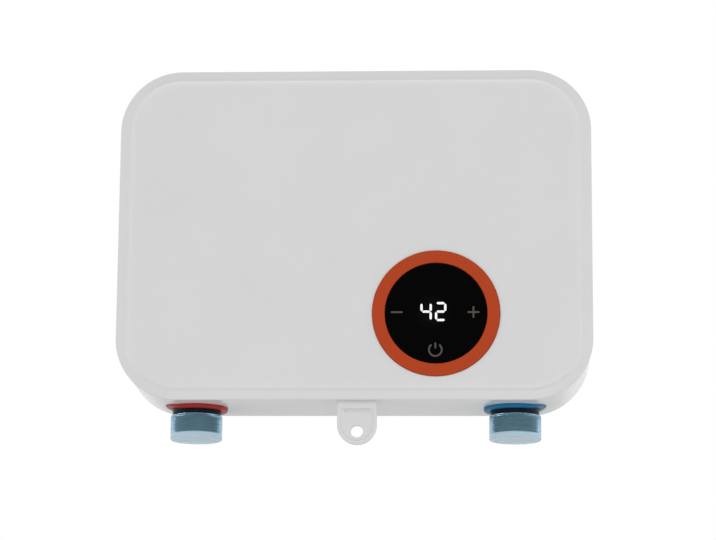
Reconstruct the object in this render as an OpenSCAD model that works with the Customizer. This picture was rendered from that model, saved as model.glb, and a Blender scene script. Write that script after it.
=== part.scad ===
// Wall-hung tankless electric water heater, millimetres, +Z up.
// The origin is the centre of the casing's back, on the wall. The front looks along -Y.
// A depth is a distance from the wall, so a point at depth d has y = -d.

/* [Casing] */
// Width of the casing
casing_w = 222; // [218:1:250]
// Height of the casing
casing_h = 158; // [156:1:180]
// Radius of the casing's corners
corner_r = 29; // [26:1:32]
// Depth from the wall to the edge of the front cover
seam_depth = 48; // [48:0.5:56]
// Thickness of the rear shell's side walls
wall_t = 2.5; // [2:0.1:2.8]
// Thickness of the back wall
back_t = 3; // [2.6:0.1:3.4]
// How far the rear shell's sides stand in from the front cover's edge
shadow_step = 0.4; // [0.2:0.1:0.6]

/* [Front cover] */
// Height of the straight edge of the front cover
skirt_h = 1.2; // [1:0.1:2]
// Width of the sloped band round the front
band_w = 4; // [3.6:0.1:4.6]
// How far the band rises towards the front
band_rise = 2; // [1.6:0.1:2.6]
// Width of the step between the band and the flat front
step_w = 1; // [0.8:0.1:1.2]
// Height of that step
step_rise = 1.2; // [1:0.1:1.6]
// Thickness of the flat front
face_t = 2.4; // [2.2:0.1:2.6]
// Length of the lip that enters the rear shell
lip_h = 3; // [2.6:0.1:3.6]
// Thickness of the lip
lip_t = 1.4; // [1.2:0.1:1.6]
// Clearance between lip and shell
lip_gap = 0.2; // [0.15:0.05:0.3]
// Width and depth of the cover seal
seal_w = 1.3; // [1.2:0.1:1.4]
// Distance of a cover screw from the centre of its corner, each way
screw_offset = 15; // [14:0.5:15.5]

/* [Display] */
// Dial centre, right of the casing's middle
dial_x = 38.4; // [34:0.1:42]
// Dial centre, above the casing's lower edge
dial_up = 40.1; // [39.8:0.1:42]
// Outer radius of the bezel ring
ring_r = 29.6; // [28.6:0.1:30]
// Radius of the bezel ring's opening
ring_bore_r = 23.8; // [23:0.1:24]
// How far the ring stands out of the front
ring_proud = 0.8; // [0.5:0.1:1.2]
// How deep the ring is let into the front
ring_seat = 1; // [0.8:0.1:1.2]
// How far the display lies below the ring's face
lens_drop = 0.6; // [0.3:0.1:0.8]
// Radius of the display board
display_board_r = 33; // [32.4:0.1:33.5]
// Height of the lit digits
digit_h = 9; // [8:0.1:11]
// Width of one digit
digit_w = 5.3; // [5:0.1:6]
// Width of a lit bar
bar_w = 1.05; // [0.9:0.05:1.3]

/* [Water connections] */
// Distance between the two water connections
pipe_spacing = 150; // [146:1:152]
// Depth of the connections' axes
pipe_depth = 23.5; // [23:0.1:24.5]
// Outer radius of the G1/2 thread
thread_r = 10.48; // [10.3:0.01:10.6]
// Pitch of the thread
thread_pitch = 1.814; // [1.7:0.01:1.9]
// Height of one thread ridge
thread_h = 1.16; // [1:0.01:1.2]
// How far the fitting stands out below the casing
fitting_drop = 12.4; // [12:0.1:13]
// Radius of the waterway
water_r = 6.5; // [6.2:0.1:6.8]
// Radius of the black neck
neck_r = 11.3; // [11.2:0.1:11.6]
// How far the neck reaches below the casing
neck_drop = 3.4; // [3:0.1:3.8]
// Outer radius of the coloured collar
collar_r = 14.7; // [14:0.1:15]
// How far the collar stands out of the casing
collar_proud = 1.4; // [1:0.1:2]
// Outer radius of the dust caps
cap_r = 12.2; // [12.1:0.1:12.6]
// Wall of the dust caps
cap_t = 1.05; // [0.9:0.05:1.1]
// How far the dust caps reach below the casing
cap_drop = 15; // [14.8:0.1:16]

/* [Ear] */
// Place of the ear, right of the casing's middle
ear_x = 1.8; // [-2:0.1:4]
// Width of the ear
ear_w = 18.4; // [17:0.1:20]
// How far the ear hangs below the casing
ear_drop = 20.4; // [19.6:0.1:23]
// How far the ear's front lies behind the front cover's edge
ear_set = 1; // [0.6:0.1:3]
// Thickness of the ear
ear_t = 3.5; // [3:0.1:4.5]
// Radius of the screw hole in the ear
ear_hole_r = 2.85; // [2.2:0.05:3.3]
// How far the screw hole lies below the casing
ear_hole_drop = 14.3; // [12.5:0.1:15]

/* [Wall and cable openings] */
// Distance between the two keyholes
keyhole_spacing = 160; // [156:1:164]
// Distance of the keyholes from the casing's upper edge
keyhole_down = 21; // [20:0.5:22]
// Radius of a keyhole's wide end
keyhole_r = 4.5; // [4:0.1:4.8]
// Radius of a keyhole's narrow end
keyhole_slot_r = 2.25; // [2:0.05:2.5]
// Length of a keyhole's slot
keyhole_rise = 9; // [7:0.5:9]
// Place of the cable entry, right of the casing's middle
cable_x = 60; // [59:0.5:61]
// Distance of the cable entry from the casing's upper edge
cable_down = 14; // [13.5:0.5:14.5]
// Radius of the cable
cable_r = 4.2; // [3.5:0.1:4.4]

/* [Tank] */
// Radius of the heating tank
tank_r = 18; // [17.4:0.1:18.4]
// Wall of the heating tank
tank_t = 1; // [0.8:0.1:1.4]
// Half the length of the heating tank
tank_half = 60; // [58:1:61]
// Depth of the tank's axis
tank_depth = 26; // [25.6:0.1:26.6]
// Distance of the tank's axis from the casing's upper edge
tank_down = 49; // [48.5:0.1:49.5]
// Radius of the pipes
pipe_r = 6.5; // [6.2:0.1:6.6]
// Radius of the heating element's tube
element_r = 3.2; // [2.8:0.1:3.3]
// Half the distance between the element's legs
element_half = 7; // [6.6:0.1:8]

/* [Moving pieces] */
// Radius of the turbine's chamber
chamber_r = 8; // [7.8:0.1:8.2]
// Radius of the turbine's shaft
shaft_r = 1; // [0.9:0.05:1.2]
// Number of blades on the turbine
blades = 6; // [3:1:8]
// Tilt of the blades
blade_tilt = 35; // [25:1:45]
// Radius of the reset button
button_r = 2.2; // [1.8:0.1:2.4]
// Travel of the reset button
button_travel = 1.2; // [0.8:0.1:1.4]

/* [Power board] */
// Left edge of the board, from the casing's middle
board_left = -58; // [-59:0.5:-57]
// Right edge of the board
board_right = 56; // [55.5:0.5:57]
// Height of the board's lower edge above the casing's lower edge
board_up = 7; // [6:0.5:7.5]
// Distance of the board's upper edge below the tank's axis
board_down = 42; // [41.5:0.5:42.5]
// Thickness of the boards
board_t = 1.6; // [1.2:0.1:1.8]
// Depth of the power board's back
board_depth = 9; // [8.6:0.1:9.2]

/* [Hidden] */
$fn = 64;

// Gap between pieces that are pushed or screwed together
fit_gap = 0.05;
// Gap between pieces that slide into each other freely
slip_gap = 0.1;
// Overshoot of a cut past the face that it opens
past = 0.5;

// Front of the casing and inside of its walls
front_depth = seam_depth + skirt_h + band_rise + step_rise;
inside_depth = front_depth - face_t;
bottom_z = -casing_h / 2;
top_z = casing_h / 2;
shell_inset = shadow_step + wall_t;
bottom_in = bottom_z + shell_inset;
lip_inset = shell_inset + lip_gap;
cavity_inset = lip_inset + lip_t;
seal_gap = 0.05;

// Cover screws, driven from behind through the posts of the rear shell
post_x = casing_w / 2 - corner_r + screw_offset;
post_z = casing_h / 2 - corner_r + screw_offset;
post_r = 5.4;
post_top = seam_depth - 8;
post_floor = 4;
screw_r = 1.5;
screw_head_r = 2.9;
screw_head_h = 2.2;
cover_screw_l = 11;
boss_r = 3.5;

// Ear: the groove lies across it above the screw hole, and two webs brace it from behind
ear_depth = seam_depth - ear_set;
ear_arc_drop = ear_drop - ear_w / 2;
ear_rim = 1.7;
ear_sink = 0.5;
ear_groove_w = 11.6;
ear_groove_h = 1.4;
ear_groove_drop = 3.8;
ear_web_t = 2;
ear_web_l = 11;
ear_web_h = 7;

// Keyhole pockets and cable entry
keyhole_z = top_z - keyhole_down;
cable_z = top_z - cable_down;
pocket_t = 1.6;
pocket_half = 6.6;
pocket_depth = 9;
grommet_r = 7;
grommet_flange_r = 9;
grommet_flange_t = 2;
grommet_l = 8;
grommet_flare = 1;
grommet_flare_l = back_t + 0.2;
clamp_x = 47;
clamp_w = 6;
clamp_reach = 7;
clamp_boss_r = 3;
clamp_t = 4;
cradle_h = 3;
cable_depth = back_t + cradle_h + cable_r;
clamp_depth = cable_depth + 2;

// Display
dial_z = bottom_z + dial_up;
spigot_r = ring_bore_r + 2.2;
spigot_bore_r = ring_bore_r + 1.1;
lens_flange_t = 1.2;
ring_back = front_depth - ring_seat;
ring_face = front_depth + ring_proud;
lens_front = ring_face - lens_drop;
lens_back = ring_back - lens_flange_t;
print_t = 0.15;
digit_rise = 0.65;
digit_space = 1.45;
ones_x = -0.5;
tens_x = ones_x - digit_space - digit_w;
key_mid = -0.45;
key_x = 17.75;
key_rise = 0.4;
key_len = 5.4;
key_bar = 0.8;
power_x = -0.3;
power_drop = 17.3;
power_r = 3.35;
power_gap = 38;
module_half_w = 13;
module_half_h = 8.5;
module_t = 6;
module_gap = 0.3;
display_board_depth = lens_back - module_gap - module_t - board_t;
display_board_front = display_board_depth + board_t;
display_post_at = display_board_r - 2.5;
display_post_r = 2.2;
display_screw_r = 1;
spring_r = 2.6;
spring_t = 0.5;
ribbon_w = 10;
ribbon_t = 0.8;
ribbon_x = dial_x - 2.4;
ribbon_z = dial_z + 14.9;
ribbon_drop = 6;

// Water connections
outlet_x = -pipe_spacing / 2;
inlet_x = pipe_spacing / 2;
collar_spigot_r = 13;
collar_bore_r = neck_r + 0.2;
collar_top = bottom_in - 0.2;
thread_end = bottom_z - fitting_drop;
neck_end = bottom_z - neck_drop;
relief_h = 1;
relief_r = thread_r - 0.3;
fitting_flange_r = 15.5;
fitting_flange_t = 3.5;
shank_r = 9;
inlet_shank_top = bottom_z + 22.8;
outlet_shank_top = bottom_z + 27;
mouth_r = 7.7;
mouth_h = 2;
cap_end = bottom_z - cap_drop;
cap_top = neck_end - 0.2;
cap_floor_t = 0.9;
cap_dish = 0.6;
cap_dish_r = cap_r - 3.2;
cap_chamfer = 0.5;
bead_r = thread_r + fit_gap;
strainer_r = 6.1;
strainer_t = 0.6;
strainer_top = bottom_z + 1;
strainer_flange_t = 1.2;

// Flow sensor
sensor_r = 12;
sensor_low = inlet_shank_top - 5.8;
sensor_high = sensor_low + 28;
sensor_socket = 6;
seal_groove_h = 2.5;
seal_wire_r = 0.8;
spider_t = 2;
spider_bar = 2;
spider_hub_r = 2.6;
turbine_hub_r = 3;
blade_t = 0.9;
blade_gap = 0.4;
running_gap = 0.05;
end_play = 0.5;
hall_seat_w = 14;
hall_depth = pipe_depth + sensor_r + 0.5;
hall_t = 1.2;

// Tank and pipes
tank_z = top_z - tank_down;
pipe_t = 1;
socket_gap = 0.1;
port_r = 10;
port_low = tank_z - 28;
port_socket = 8;
end_cap_r = tank_r + 2;
cap_in = tank_half - 4;
gasket_t = 2;
cap_seat = tank_half + gasket_t;
cap_out = pipe_spacing / 2 + 13;
cap_wall = 4;
cap_chamber_r = tank_r - 3;
rod_r = 1.6;
lug_r = 4;
lug_l = 8;
nut_r = 3;
nut_t = 2.4;
rod_offset = (end_cap_r + nut_r + 0.3) / sqrt(2);
strap_x = 40;
strap_w = 10;
strap_t = 1;
strap_post_r = 4;
strap_reach = 23.5;
strap_foot = 28;
strap_screw_l = 12;
rib_w = 6;
rib_half = 10;
element_end = -cap_out - 6;
element_pin_end = -cap_out - 10;
element_pin_r = 1.2;
element_turn_x = tank_half - 12;
element_nut_r = 5.4;
element_nut_t = 3;
probe_r = 2;
probe_thread_r = 3;
probe_hex_r = 5;
probe_hex_t = 4;
hot_probe_depth = tank_depth + 10;

// Thermal cut-out
cutout_x = -17;
saddle_w = 34;
saddle_l = 20;
saddle_top = tank_z + tank_r + 3;
cutout_base_r = 8;
cutout_base_h = 5;
cutout_body_r = 7;
cutout_top = saddle_top + 11;
cutout_ear = 12;
cutout_ear_t = 1;
cutout_screw_r = 1.2;
button_out = 2.4;
button_in = 5;
blade_l = 2;
blade_rise = 7;

// Power board and what stands on it
board_low = bottom_z + board_up;
board_high = tank_z - board_down;
board_front = board_depth + board_t;
board_post_inset = 4;
board_post_r = 3.5;
relay_x = -50;
relay_w = 20;
relay_z = board_low + 4;
relay_h = 19;
relay_l = 18;
transformer_x = -24;
capacitor_z = board_low + 27;
sink_x = 5;
sink_w = 20;
sink_low = tank_z - 38;
triac_depth = 12;
triac_t = 4.5;
triac_x = 15;
triac_low = tank_z - 41;
triac_h = 15;
triac_tab_h = 6;

// Terminal block
terminal_x = -2;
terminal_w = 36;
terminal_low = cable_z - 9;
terminal_high = terminal_low + 16;
terminal_l = 22;
pole_pitch = 12;
pole_first = 4;
pole_depth = 10;

// Draws a solid with the children's outline from depth a to depth b
module between(a, b) {
    translate([0, -a, 0]) rotate([90, 0, 0]) linear_extrude(b - a) children();
}

// Block from x0 to x1, from depth d0 to depth d1 and from z0 to z1
module block(x0, x1, d0, d1, z0, z1) {
    translate([x0, -d1, z0]) cube([x1 - x0, d1 - d0, z1 - z0]);
}

// Upright round bar at x and depth d
module bar_z(x, d, z0, z1, r) {
    translate([x, -d, z0]) cylinder(h = z1 - z0, r = r);
}

// Round bar that runs from side to side at depth d and height z
module bar_x(x0, x1, d, z, r) {
    translate([x0, -d, z]) rotate([0, 90, 0]) cylinder(h = x1 - x0, r = r);
}

// Round bar that runs from depth d0 to depth d1
module bar_y(x, z, d0, d1, r) {
    between(d0, d1) translate([x, z]) circle(r);
}

// Rectangle with round corners
module round_rect(w, h, r) {
    square([w - 2 * r, h], center = true);
    square([w, h - 2 * r], center = true);
    for (sx = [-1, 1], sz = [-1, 1]) translate([sx * (w / 2 - r), sz * (h / 2 - r)]) circle(r);
}

// Casing outline moved inwards by an inset
module casing_outline(inset) {
    round_rect(casing_w - 2 * inset, casing_h - 2 * inset, corner_r - inset);
}

// Screw whose head rests at depth d and whose shank runs towards the wall
module screw_y(x, z, d, l, r, head_r, head_h) {
    bar_y(x, z, d - l, d + head_h / 2, r);
    difference() {
        bar_y(x, z, d, d + head_h, head_r);
        cross_slot(x, z, d + head_h, head_r);
    }
}

// Cross recess in the top of a screw head
module cross_slot(x, z, d, head_r) {
    long = head_r * 0.6;
    wide = head_r * 0.13;
    sunk = 0.9;
    block(x - long, x + long, d - sunk, d + past, z - wide, z + wide);
    block(x - wide, x + wide, d - sunk, d + past, z - long, z + long);
}

// Smooth line through the chosen points, four steps from each point to the next.
// The first and the last stretch stay straight, so that an end meets its face squarely.
function smooth(p) = concat([p[0]],
    [for (i = [1:len(p) - 3], k = [0:3])
        let (a = p[i - 1], b = p[i], c = p[i + 1], d = p[i + 2], t = k / 4)
        0.5 * (2 * b + (c - a) * t + (2 * a - 5 * b + 4 * c - d) * t * t
            + (3 * b - 3 * c + d - a) * t * t * t)],
    [p[len(p) - 2], p[len(p) - 1]]);

function unit(v) = v / norm(v);

// Direction of the line at point i
function along(p, i) = unit(p[min(i + 1, len(p) - 1)] - p[max(i - 1, 0)]);

// Ring of points round the line at point i
lead_sides = 6;
function ring_at(p, i, r) =
    let (t = along(p, i), u = unit(cross(t, [0.9, 0.3, 0.31])), v = cross(t, u))
    [for (k = [0:lead_sides - 1]) p[i] + r * (cos(360 * k / lead_sides) * u
        + sin(360 * k / lead_sides) * v)];

// Lead of radius r along points given as [x, depth, z]
module lead(points, r) {
    line = smooth([for (q = points) [q[0], -q[1], q[2]]]);
    n = len(line);
    last = (n - 1) * lead_sides;
    rings = [for (i = [0:n - 1]) each ring_at(line, i, r)];
    sides = [for (i = [0:n - 2], k = [0:lead_sides - 1])
        let (a = i * lead_sides + k, b = i * lead_sides + (k + 1) % lead_sides)
        each [[a, a + lead_sides, b], [b, a + lead_sides, b + lead_sides]]];
    ends = [for (k = [1:lead_sides - 2])
        each [[0, k, k + 1], [last, last + k + 1, last + k]]];
    polyhedron(points = rings, faces = concat(sides, ends));
}

// Ear below the casing, with a round end: plate, recess inside a low rim, groove, screw hole and webs

module ear_outline(inset) {
    r = ear_w / 2 - inset;
    translate([-r, bottom_z - ear_arc_drop]) square([2 * r, ear_arc_drop + shadow_step]);
    translate([0, bottom_z - ear_arc_drop]) circle(r);
}

module ear_web() {
    back = ear_depth - ear_t;
    top = bottom_z + shadow_step;
    rotate([0, -90, 0]) linear_extrude(ear_web_t, center = true) polygon([[top, -back],
        [top, ear_web_l - back], [bottom_z, ear_web_l - back], [bottom_z - ear_web_h, -back]]);
}

module lower_ear() {
    color("white") translate([ear_x, 0, 0]) {
        difference() {
            between(ear_depth - ear_t, ear_depth) ear_outline(0);
            between(ear_depth - ear_sink, ear_depth + past) intersection() {
                ear_outline(ear_rim);
                translate([-ear_w, bottom_z - ear_groove_drop - ear_w - ear_drop])
                    square([2 * ear_w, ear_w + ear_drop]);
            }
            block(-ear_groove_w / 2, ear_groove_w / 2, ear_depth - 2 * ear_sink, ear_depth + past,
                bottom_z - ear_groove_drop - ear_groove_h, bottom_z - ear_groove_drop);
            bar_y(0, bottom_z - ear_hole_drop, ear_depth - ear_t - past, ear_depth + past, ear_hole_r);
        }
        for (s = [-1, 1]) translate([s * (ear_w / 2 - ear_rim - ear_web_t / 2), 0, 0]) ear_web();
    }
}

// Rear shell: open box of white plastic with the posts and the openings

module keyhole(s) {
    x = s * keyhole_spacing / 2;
    bar_y(x, keyhole_z, -past, back_t + past, keyhole_r);
    bar_y(x, keyhole_z + keyhole_rise, -past, back_t + past, keyhole_slot_r);
    block(x - keyhole_slot_r, x + keyhole_slot_r, -past, back_t + past, keyhole_z,
        keyhole_z + keyhole_rise);
}

module keyhole_pocket(s) {
    x = s * keyhole_spacing / 2;
    low = keyhole_z - pocket_half;
    high = keyhole_z + keyhole_rise + keyhole_slot_r + 3;
    difference() {
        block(x - pocket_half - pocket_t, x + pocket_half + pocket_t, back_t, back_t + pocket_depth,
            low - pocket_t, high + pocket_t);
        block(x - pocket_half, x + pocket_half, back_t - past, back_t + pocket_depth - pocket_t, low, high);
    }
}

module shell_posts() {
    for (sx = [-1, 1], sz = [-1, 1]) {
        bar_y(sx * post_x, sz * post_z, back_t / 2, post_top, post_r);
        bar_y(sx * strap_x, tank_z + sz * strap_reach, back_t / 2, tank_depth - strap_t / 2, strap_post_r);
    }
    for (x = [board_left + board_post_inset, board_right - board_post_inset],
            z = [board_low + board_post_inset, board_high - board_post_inset])
        bar_y(x, z, back_t / 2, board_depth, board_post_r);
    for (s = [-1, 1]) bar_y(clamp_x, cable_z + s * clamp_reach, back_t / 2, clamp_depth, clamp_boss_r);
}

module shell_post_holes() {
    for (sx = [-1, 1], sz = [-1, 1]) {
        bar_y(sx * post_x, sz * post_z, -past, post_top - post_floor, screw_head_r + 0.3);
        bar_y(sx * post_x, sz * post_z, 0, post_top + past, screw_r + 0.2);
        bar_y(sx * strap_x, tank_z + sz * strap_reach, tank_depth - strap_screw_l - 1, tank_depth,
            screw_r + fit_gap);
    }
    for (x = [board_left + board_post_inset, board_right - board_post_inset],
            z = [board_low + board_post_inset, board_high - board_post_inset])
        bar_y(x, z, back_t + 0.5, board_depth + past, screw_r + fit_gap);
    for (s = [-1, 1])
        bar_y(clamp_x, cable_z + s * clamp_reach, back_t + 0.5, clamp_depth + past, screw_r + fit_gap);
}

module shell_ribs() {
    for (s = [-1, 1]) difference() {
        block(s * strap_x - rib_w / 2, s * strap_x + rib_w / 2, back_t / 2,
            tank_depth - tank_r + 4, tank_z - rib_half, tank_z + rib_half);
        bar_x(s * strap_x - rib_w, s * strap_x + rib_w, tank_depth, tank_z, tank_r + fit_gap);
    }
    block(clamp_x - clamp_w / 2, clamp_x + clamp_w / 2, back_t / 2, back_t + cradle_h,
        cable_z - cable_r, cable_z + cable_r);
    for (x = [terminal_x - 1.6, terminal_x + terminal_w + slip_gap])
        block(x, x + 1.5, back_t / 2, back_t + 5, terminal_low + 2, terminal_high - 2);
}

module rear_shell() {
    color("white") difference() {
        union() {
            difference() {
                between(0, seam_depth) casing_outline(shadow_step);
                between(back_t, seam_depth + past) casing_outline(shell_inset);
                between(seam_depth - seal_w - seal_gap, seam_depth + past)
                    casing_outline(shell_inset - seal_w + seal_gap);
            }
            intersection() {
                shell_posts();
                between(0, seam_depth) casing_outline(shadow_step + wall_t / 2);
            }
            shell_ribs();
            for (s = [-1, 1]) keyhole_pocket(s);
        }
        shell_post_holes();
        for (s = [-1, 1]) {
            keyhole(s);
            bar_z(s * pipe_spacing / 2, pipe_depth, bottom_z - past, bottom_in + 4,
                collar_spigot_r + slip_gap);
        }
        bar_y(cable_x, cable_z, -past, back_t + past, grommet_r + fit_gap);
    }
}

// Front cover: flat front, step and sloped band, lip, screw bosses and the seat of the dial

// Edge profile: how far inwards, and how far from the wall
edge_profile = [[corner_r, seam_depth], [0, seam_depth], [0, seam_depth + skirt_h],
    [band_w, seam_depth + skirt_h + band_rise], [band_w + step_w, front_depth],
    [corner_r, front_depth]];

module edge_corner(sx, sz) {
    turn = sx > 0 ? (sz > 0 ? 0 : 270) : (sz > 0 ? 90 : 180);
    translate([sx * (casing_w / 2 - corner_r), 0, sz * (casing_h / 2 - corner_r)])
        rotate([90, 0, 0]) rotate([0, 0, turn]) rotate_extrude(angle = 90, $fn = 96)
            polygon([for (q = edge_profile) [corner_r - q[0], q[1]]]);
}

module cover_body() {
    for (sx = [-1, 1], sz = [-1, 1]) edge_corner(sx, sz);
    for (s = [-1, 1]) rotate([0, s * 90 - 90, 0]) cover_side(casing_h - 2 * corner_r, casing_w);
    for (s = [-1, 1]) rotate([0, s * 90, 0]) cover_side(casing_w - 2 * corner_r, casing_h);
    between(seam_depth, front_depth)
        square([casing_w - 2 * corner_r + 2 * past, casing_h - 2 * corner_r + 2 * past], center = true);
}

// One straight side of the cover, drawn at +X
module cover_side(l, w) {
    translate([0, 0, -l / 2]) linear_extrude(l) polygon([for (q = edge_profile) [w / 2 - q[0], -q[1]]]);
}

module display_posts(d0, d1, r) {
    for (a = [30, 150, 270])
        bar_y(dial_x + display_post_at * cos(a), dial_z + display_post_at * sin(a), d0, d1, r);
}

module front_cover() {
    color("white") difference() {
        union() {
            difference() {
                union() {
                    cover_body();
                    between(seam_depth - lip_h, seam_depth) casing_outline(lip_inset);
                }
                between(seam_depth - lip_h - past, inside_depth) casing_outline(cavity_inset);
            }
            for (sx = [-1, 1], sz = [-1, 1])
                bar_y(sx * post_x, sz * post_z, post_top, inside_depth + face_t / 2, boss_r);
            display_posts(display_board_front, inside_depth + face_t / 3, display_post_r);
        }
        for (sx = [-1, 1], sz = [-1, 1])
            bar_y(sx * post_x, sz * post_z, post_top - past, inside_depth - 1, screw_r + fit_gap);
        display_posts(display_board_front - past, inside_depth - 1, display_screw_r + fit_gap);
        bar_y(dial_x, dial_z, inside_depth - past, front_depth + past, spigot_r + slip_gap);
        bar_y(dial_x, dial_z, ring_back, front_depth + past, ring_r + slip_gap);
    }
}

module cover_seal() {
    color("dimgray") between(seam_depth - seal_w, seam_depth) difference() {
        casing_outline(shell_inset - seal_w + 2 * seal_gap);
        casing_outline(lip_inset - seal_gap);
    }
}

module cover_screws() {
    color("silver") for (sx = [-1, 1], sz = [-1, 1]) mirror([0, 1, 0])
        screw_y(sx * post_x, sz * post_z, -(post_top - post_floor), cover_screw_l, screw_r,
            screw_head_r, screw_head_h);
}

// Display: orange ring, black disc with printed signs, lit digits and the board behind

module bezel_ring() {
    rim = 0.3;
    color("orangered") translate([dial_x, 0, dial_z]) rotate([90, 0, 0]) rotate_extrude($fn = 128)
        polygon([[ring_bore_r, ring_back], [spigot_bore_r, ring_back],
            [spigot_bore_r, inside_depth - 1.6], [spigot_r, inside_depth - 1.6], [spigot_r, ring_back],
            [ring_r, ring_back], [ring_r, ring_face - rim], [ring_r - rim, ring_face],
            [ring_bore_r + rim, ring_face], [ring_bore_r, ring_face - rim]]);
}

module display_lens() {
    color([0.03, 0.03, 0.03]) {
        bar_y(dial_x, dial_z, lens_back, ring_back, spigot_bore_r - slip_gap);
        bar_y(dial_x, dial_z, ring_back - lens_flange_t / 2, lens_front, ring_bore_r - slip_gap);
    }
}

// Minus, plus and power signs printed on the disc
module key_signs() {
    color([0.4, 0.35, 0.3]) between(lens_front, lens_front + print_t) translate([dial_x, dial_z]) {
        for (s = [-1, 1]) translate([key_mid + s * key_x, key_rise])
            square([key_len, key_bar], center = true);
        translate([key_mid + key_x, key_rise]) square([key_bar, key_len], center = true);
        translate([power_x, -power_drop]) {
            difference() {
                circle(power_r);
                circle(power_r - key_bar);
                polygon([[0, 0], 2 * power_r * [-sin(power_gap), cos(power_gap)],
                    2 * power_r * [sin(power_gap), cos(power_gap)]]);
            }
            translate([-key_bar / 2, power_r * 0.2]) square([key_bar, power_r * 0.8]);
        }
    }
}

// Bars of a seven-bar digit: 0 top, 1 and 2 right, 3 bottom, 4 and 5 left, 6 middle
module digit(x, bars) {
    w = digit_w - bar_w;
    h = (digit_h - bar_w) / 2;
    ends = [[[0, h], [w, h]], [[w, 0], [w, h]], [[w, -h], [w, 0]], [[0, -h], [w, -h]],
        [[0, -h], [0, 0]], [[0, 0], [0, h]], [[0, 0], [w, 0]]];
    for (i = bars) digit_bar(x + bar_w / 2, ends[i][0], ends[i][1]);
}

// Bar with pointed ends from a to b
module digit_bar(x, a, b) {
    t = unit(b - a);
    n = [-t[1], t[0]];
    half = bar_w / 2;
    cut = 0.2;
    outline = [a + cut * t, a + (half + cut) * t + half * n, b - (half + cut) * t + half * n,
        b - cut * t, b - (half + cut) * t - half * n, a + (half + cut) * t - half * n];
    polygon([for (q = outline) [x + q[0], digit_rise + q[1]]]);
}

module lit_digits() {
    color("white") between(lens_front, lens_front + print_t) translate([dial_x, dial_z]) {
        digit(tens_x, [5, 6, 1, 2]);
        digit(ones_x, [0, 1, 6, 4, 3]);
    }
}

module digit_module() {
    color("dimgray") block(dial_x - module_half_w, dial_x + module_half_w, display_board_front,
        lens_back - module_gap, dial_z + digit_rise - module_half_h, dial_z + digit_rise + module_half_h);
}

module display_board() {
    color("green") difference() {
        bar_y(dial_x, dial_z, display_board_depth, display_board_front, display_board_r);
        display_posts(display_board_depth - past, display_board_front + past, display_screw_r + 0.1);
    }
}

module display_screws() {
    color("silver") mirror([0, 1, 0]) for (a = [30, 150, 270])
        screw_y(dial_x + display_post_at * cos(a), dial_z + display_post_at * sin(a),
            -display_board_depth, 5.5, display_screw_r, 2, 1.4);
}

module touch_springs() {
    keys = [[key_mid - key_x, key_rise], [key_mid + key_x, key_rise], [power_x, -power_drop]];
    color("gold") for (q = keys) difference() {
        bar_y(dial_x + q[0], dial_z + q[1], display_board_front, lens_back, spring_r);
        bar_y(dial_x + q[0], dial_z + q[1], display_board_front - past, lens_back + past,
            spring_r - spring_t);
    }
}

module display_ribbon() {
    bend = 26;
    color("gainsboro") {
        block(ribbon_x - ribbon_w / 2, ribbon_x + ribbon_w / 2, bend, display_board_depth,
            ribbon_z - ribbon_t, ribbon_z);
        block(ribbon_x - ribbon_w / 2, ribbon_x + ribbon_w / 2, bend, bend + ribbon_t,
            ribbon_z - ribbon_drop, ribbon_z);
        block(ribbon_x - ribbon_w / 2, ribbon_x + ribbon_w / 2, board_front, bend + ribbon_t,
            ribbon_z - ribbon_drop - ribbon_t, ribbon_z - ribbon_drop);
    }
}

// Water connections: coloured collar, black fitting with a G1/2 thread, dust cap

module collar(x) {
    reach = collar_r + 1;
    difference() {
        union() {
            intersection() {
                bar_z(x, pipe_depth, bottom_z - 6, bottom_z + 8, collar_r);
                between(pipe_depth - reach, pipe_depth + reach) difference() {
                    casing_outline(-collar_proud);
                    casing_outline(shadow_step);
                }
            }
            intersection() {
                bar_z(x, pipe_depth, bottom_z - 6, collar_top, collar_spigot_r);
                between(pipe_depth - reach, pipe_depth + reach) casing_outline(-collar_proud);
            }
        }
        bar_z(x, pipe_depth, bottom_z - 8, bottom_z + 10, collar_bore_r);
    }
}

module outlet_collar() {
    color("red") collar(outlet_x);
}

module inlet_collar() {
    color("dodgerblue") collar(inlet_x);
}

// Thread ridges as rings with flat crests, from the end of the fitting up to the relief
thread_turns = floor((neck_end - relief_h - thread_end - 0.6) / thread_pitch);
thread_flank = thread_h * tan(27.5);
crest_w = thread_pitch - 2 * thread_flank - 0.3;
thread_low = neck_end - relief_h - thread_turns * thread_pitch;

// Half outline of the fitting below the neck
function thread_points() = [for (i = [0:thread_turns - 1])
    let (z = thread_low + i * thread_pitch)
    each [[thread_r - thread_h, z], [thread_r, z + thread_flank],
        [thread_r, z + thread_flank + crest_w], [thread_r - thread_h, z + 2 * thread_flank + crest_w]]];

module fitting(x, top, top_socket) {
    root = thread_r - thread_h;
    difference() {
        union() {
            translate([x, -pipe_depth, 0]) rotate_extrude($fn = 96)
                polygon(concat([[0, thread_end], [root - 0.5, thread_end], [root, thread_end + 0.5]],
                    thread_points(), [[relief_r, neck_end - relief_h + 0.3], [relief_r, neck_end],
                        [neck_r, neck_end], [neck_r, bottom_in + 1], [0, bottom_in + 1]]));
            intersection() {
                bar_z(x, pipe_depth, bottom_in, bottom_in + fitting_flange_t, fitting_flange_r);
                between(back_t + 1, seam_depth - lip_h - 1) casing_outline(shell_inset + 0.2);
            }
            bar_z(x, pipe_depth, bottom_in, top, shank_r);
        }
        bar_z(x, pipe_depth, thread_end - past, top + past, water_r);
        if (top_socket) {
            bar_z(x, pipe_depth, top - port_socket, top + past, pipe_r + socket_gap);
            bar_z(x, pipe_depth, top - seal_groove_h, top + past, pipe_r + 2 * seal_wire_r + socket_gap);
        }
        else {
            bar_z(x, pipe_depth, thread_end - past, thread_end + mouth_h, mouth_r);
        }
    }
}

module outlet_fitting() {
    color([0.08, 0.08, 0.09]) fitting(outlet_x, outlet_shank_top, true);
}

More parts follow.
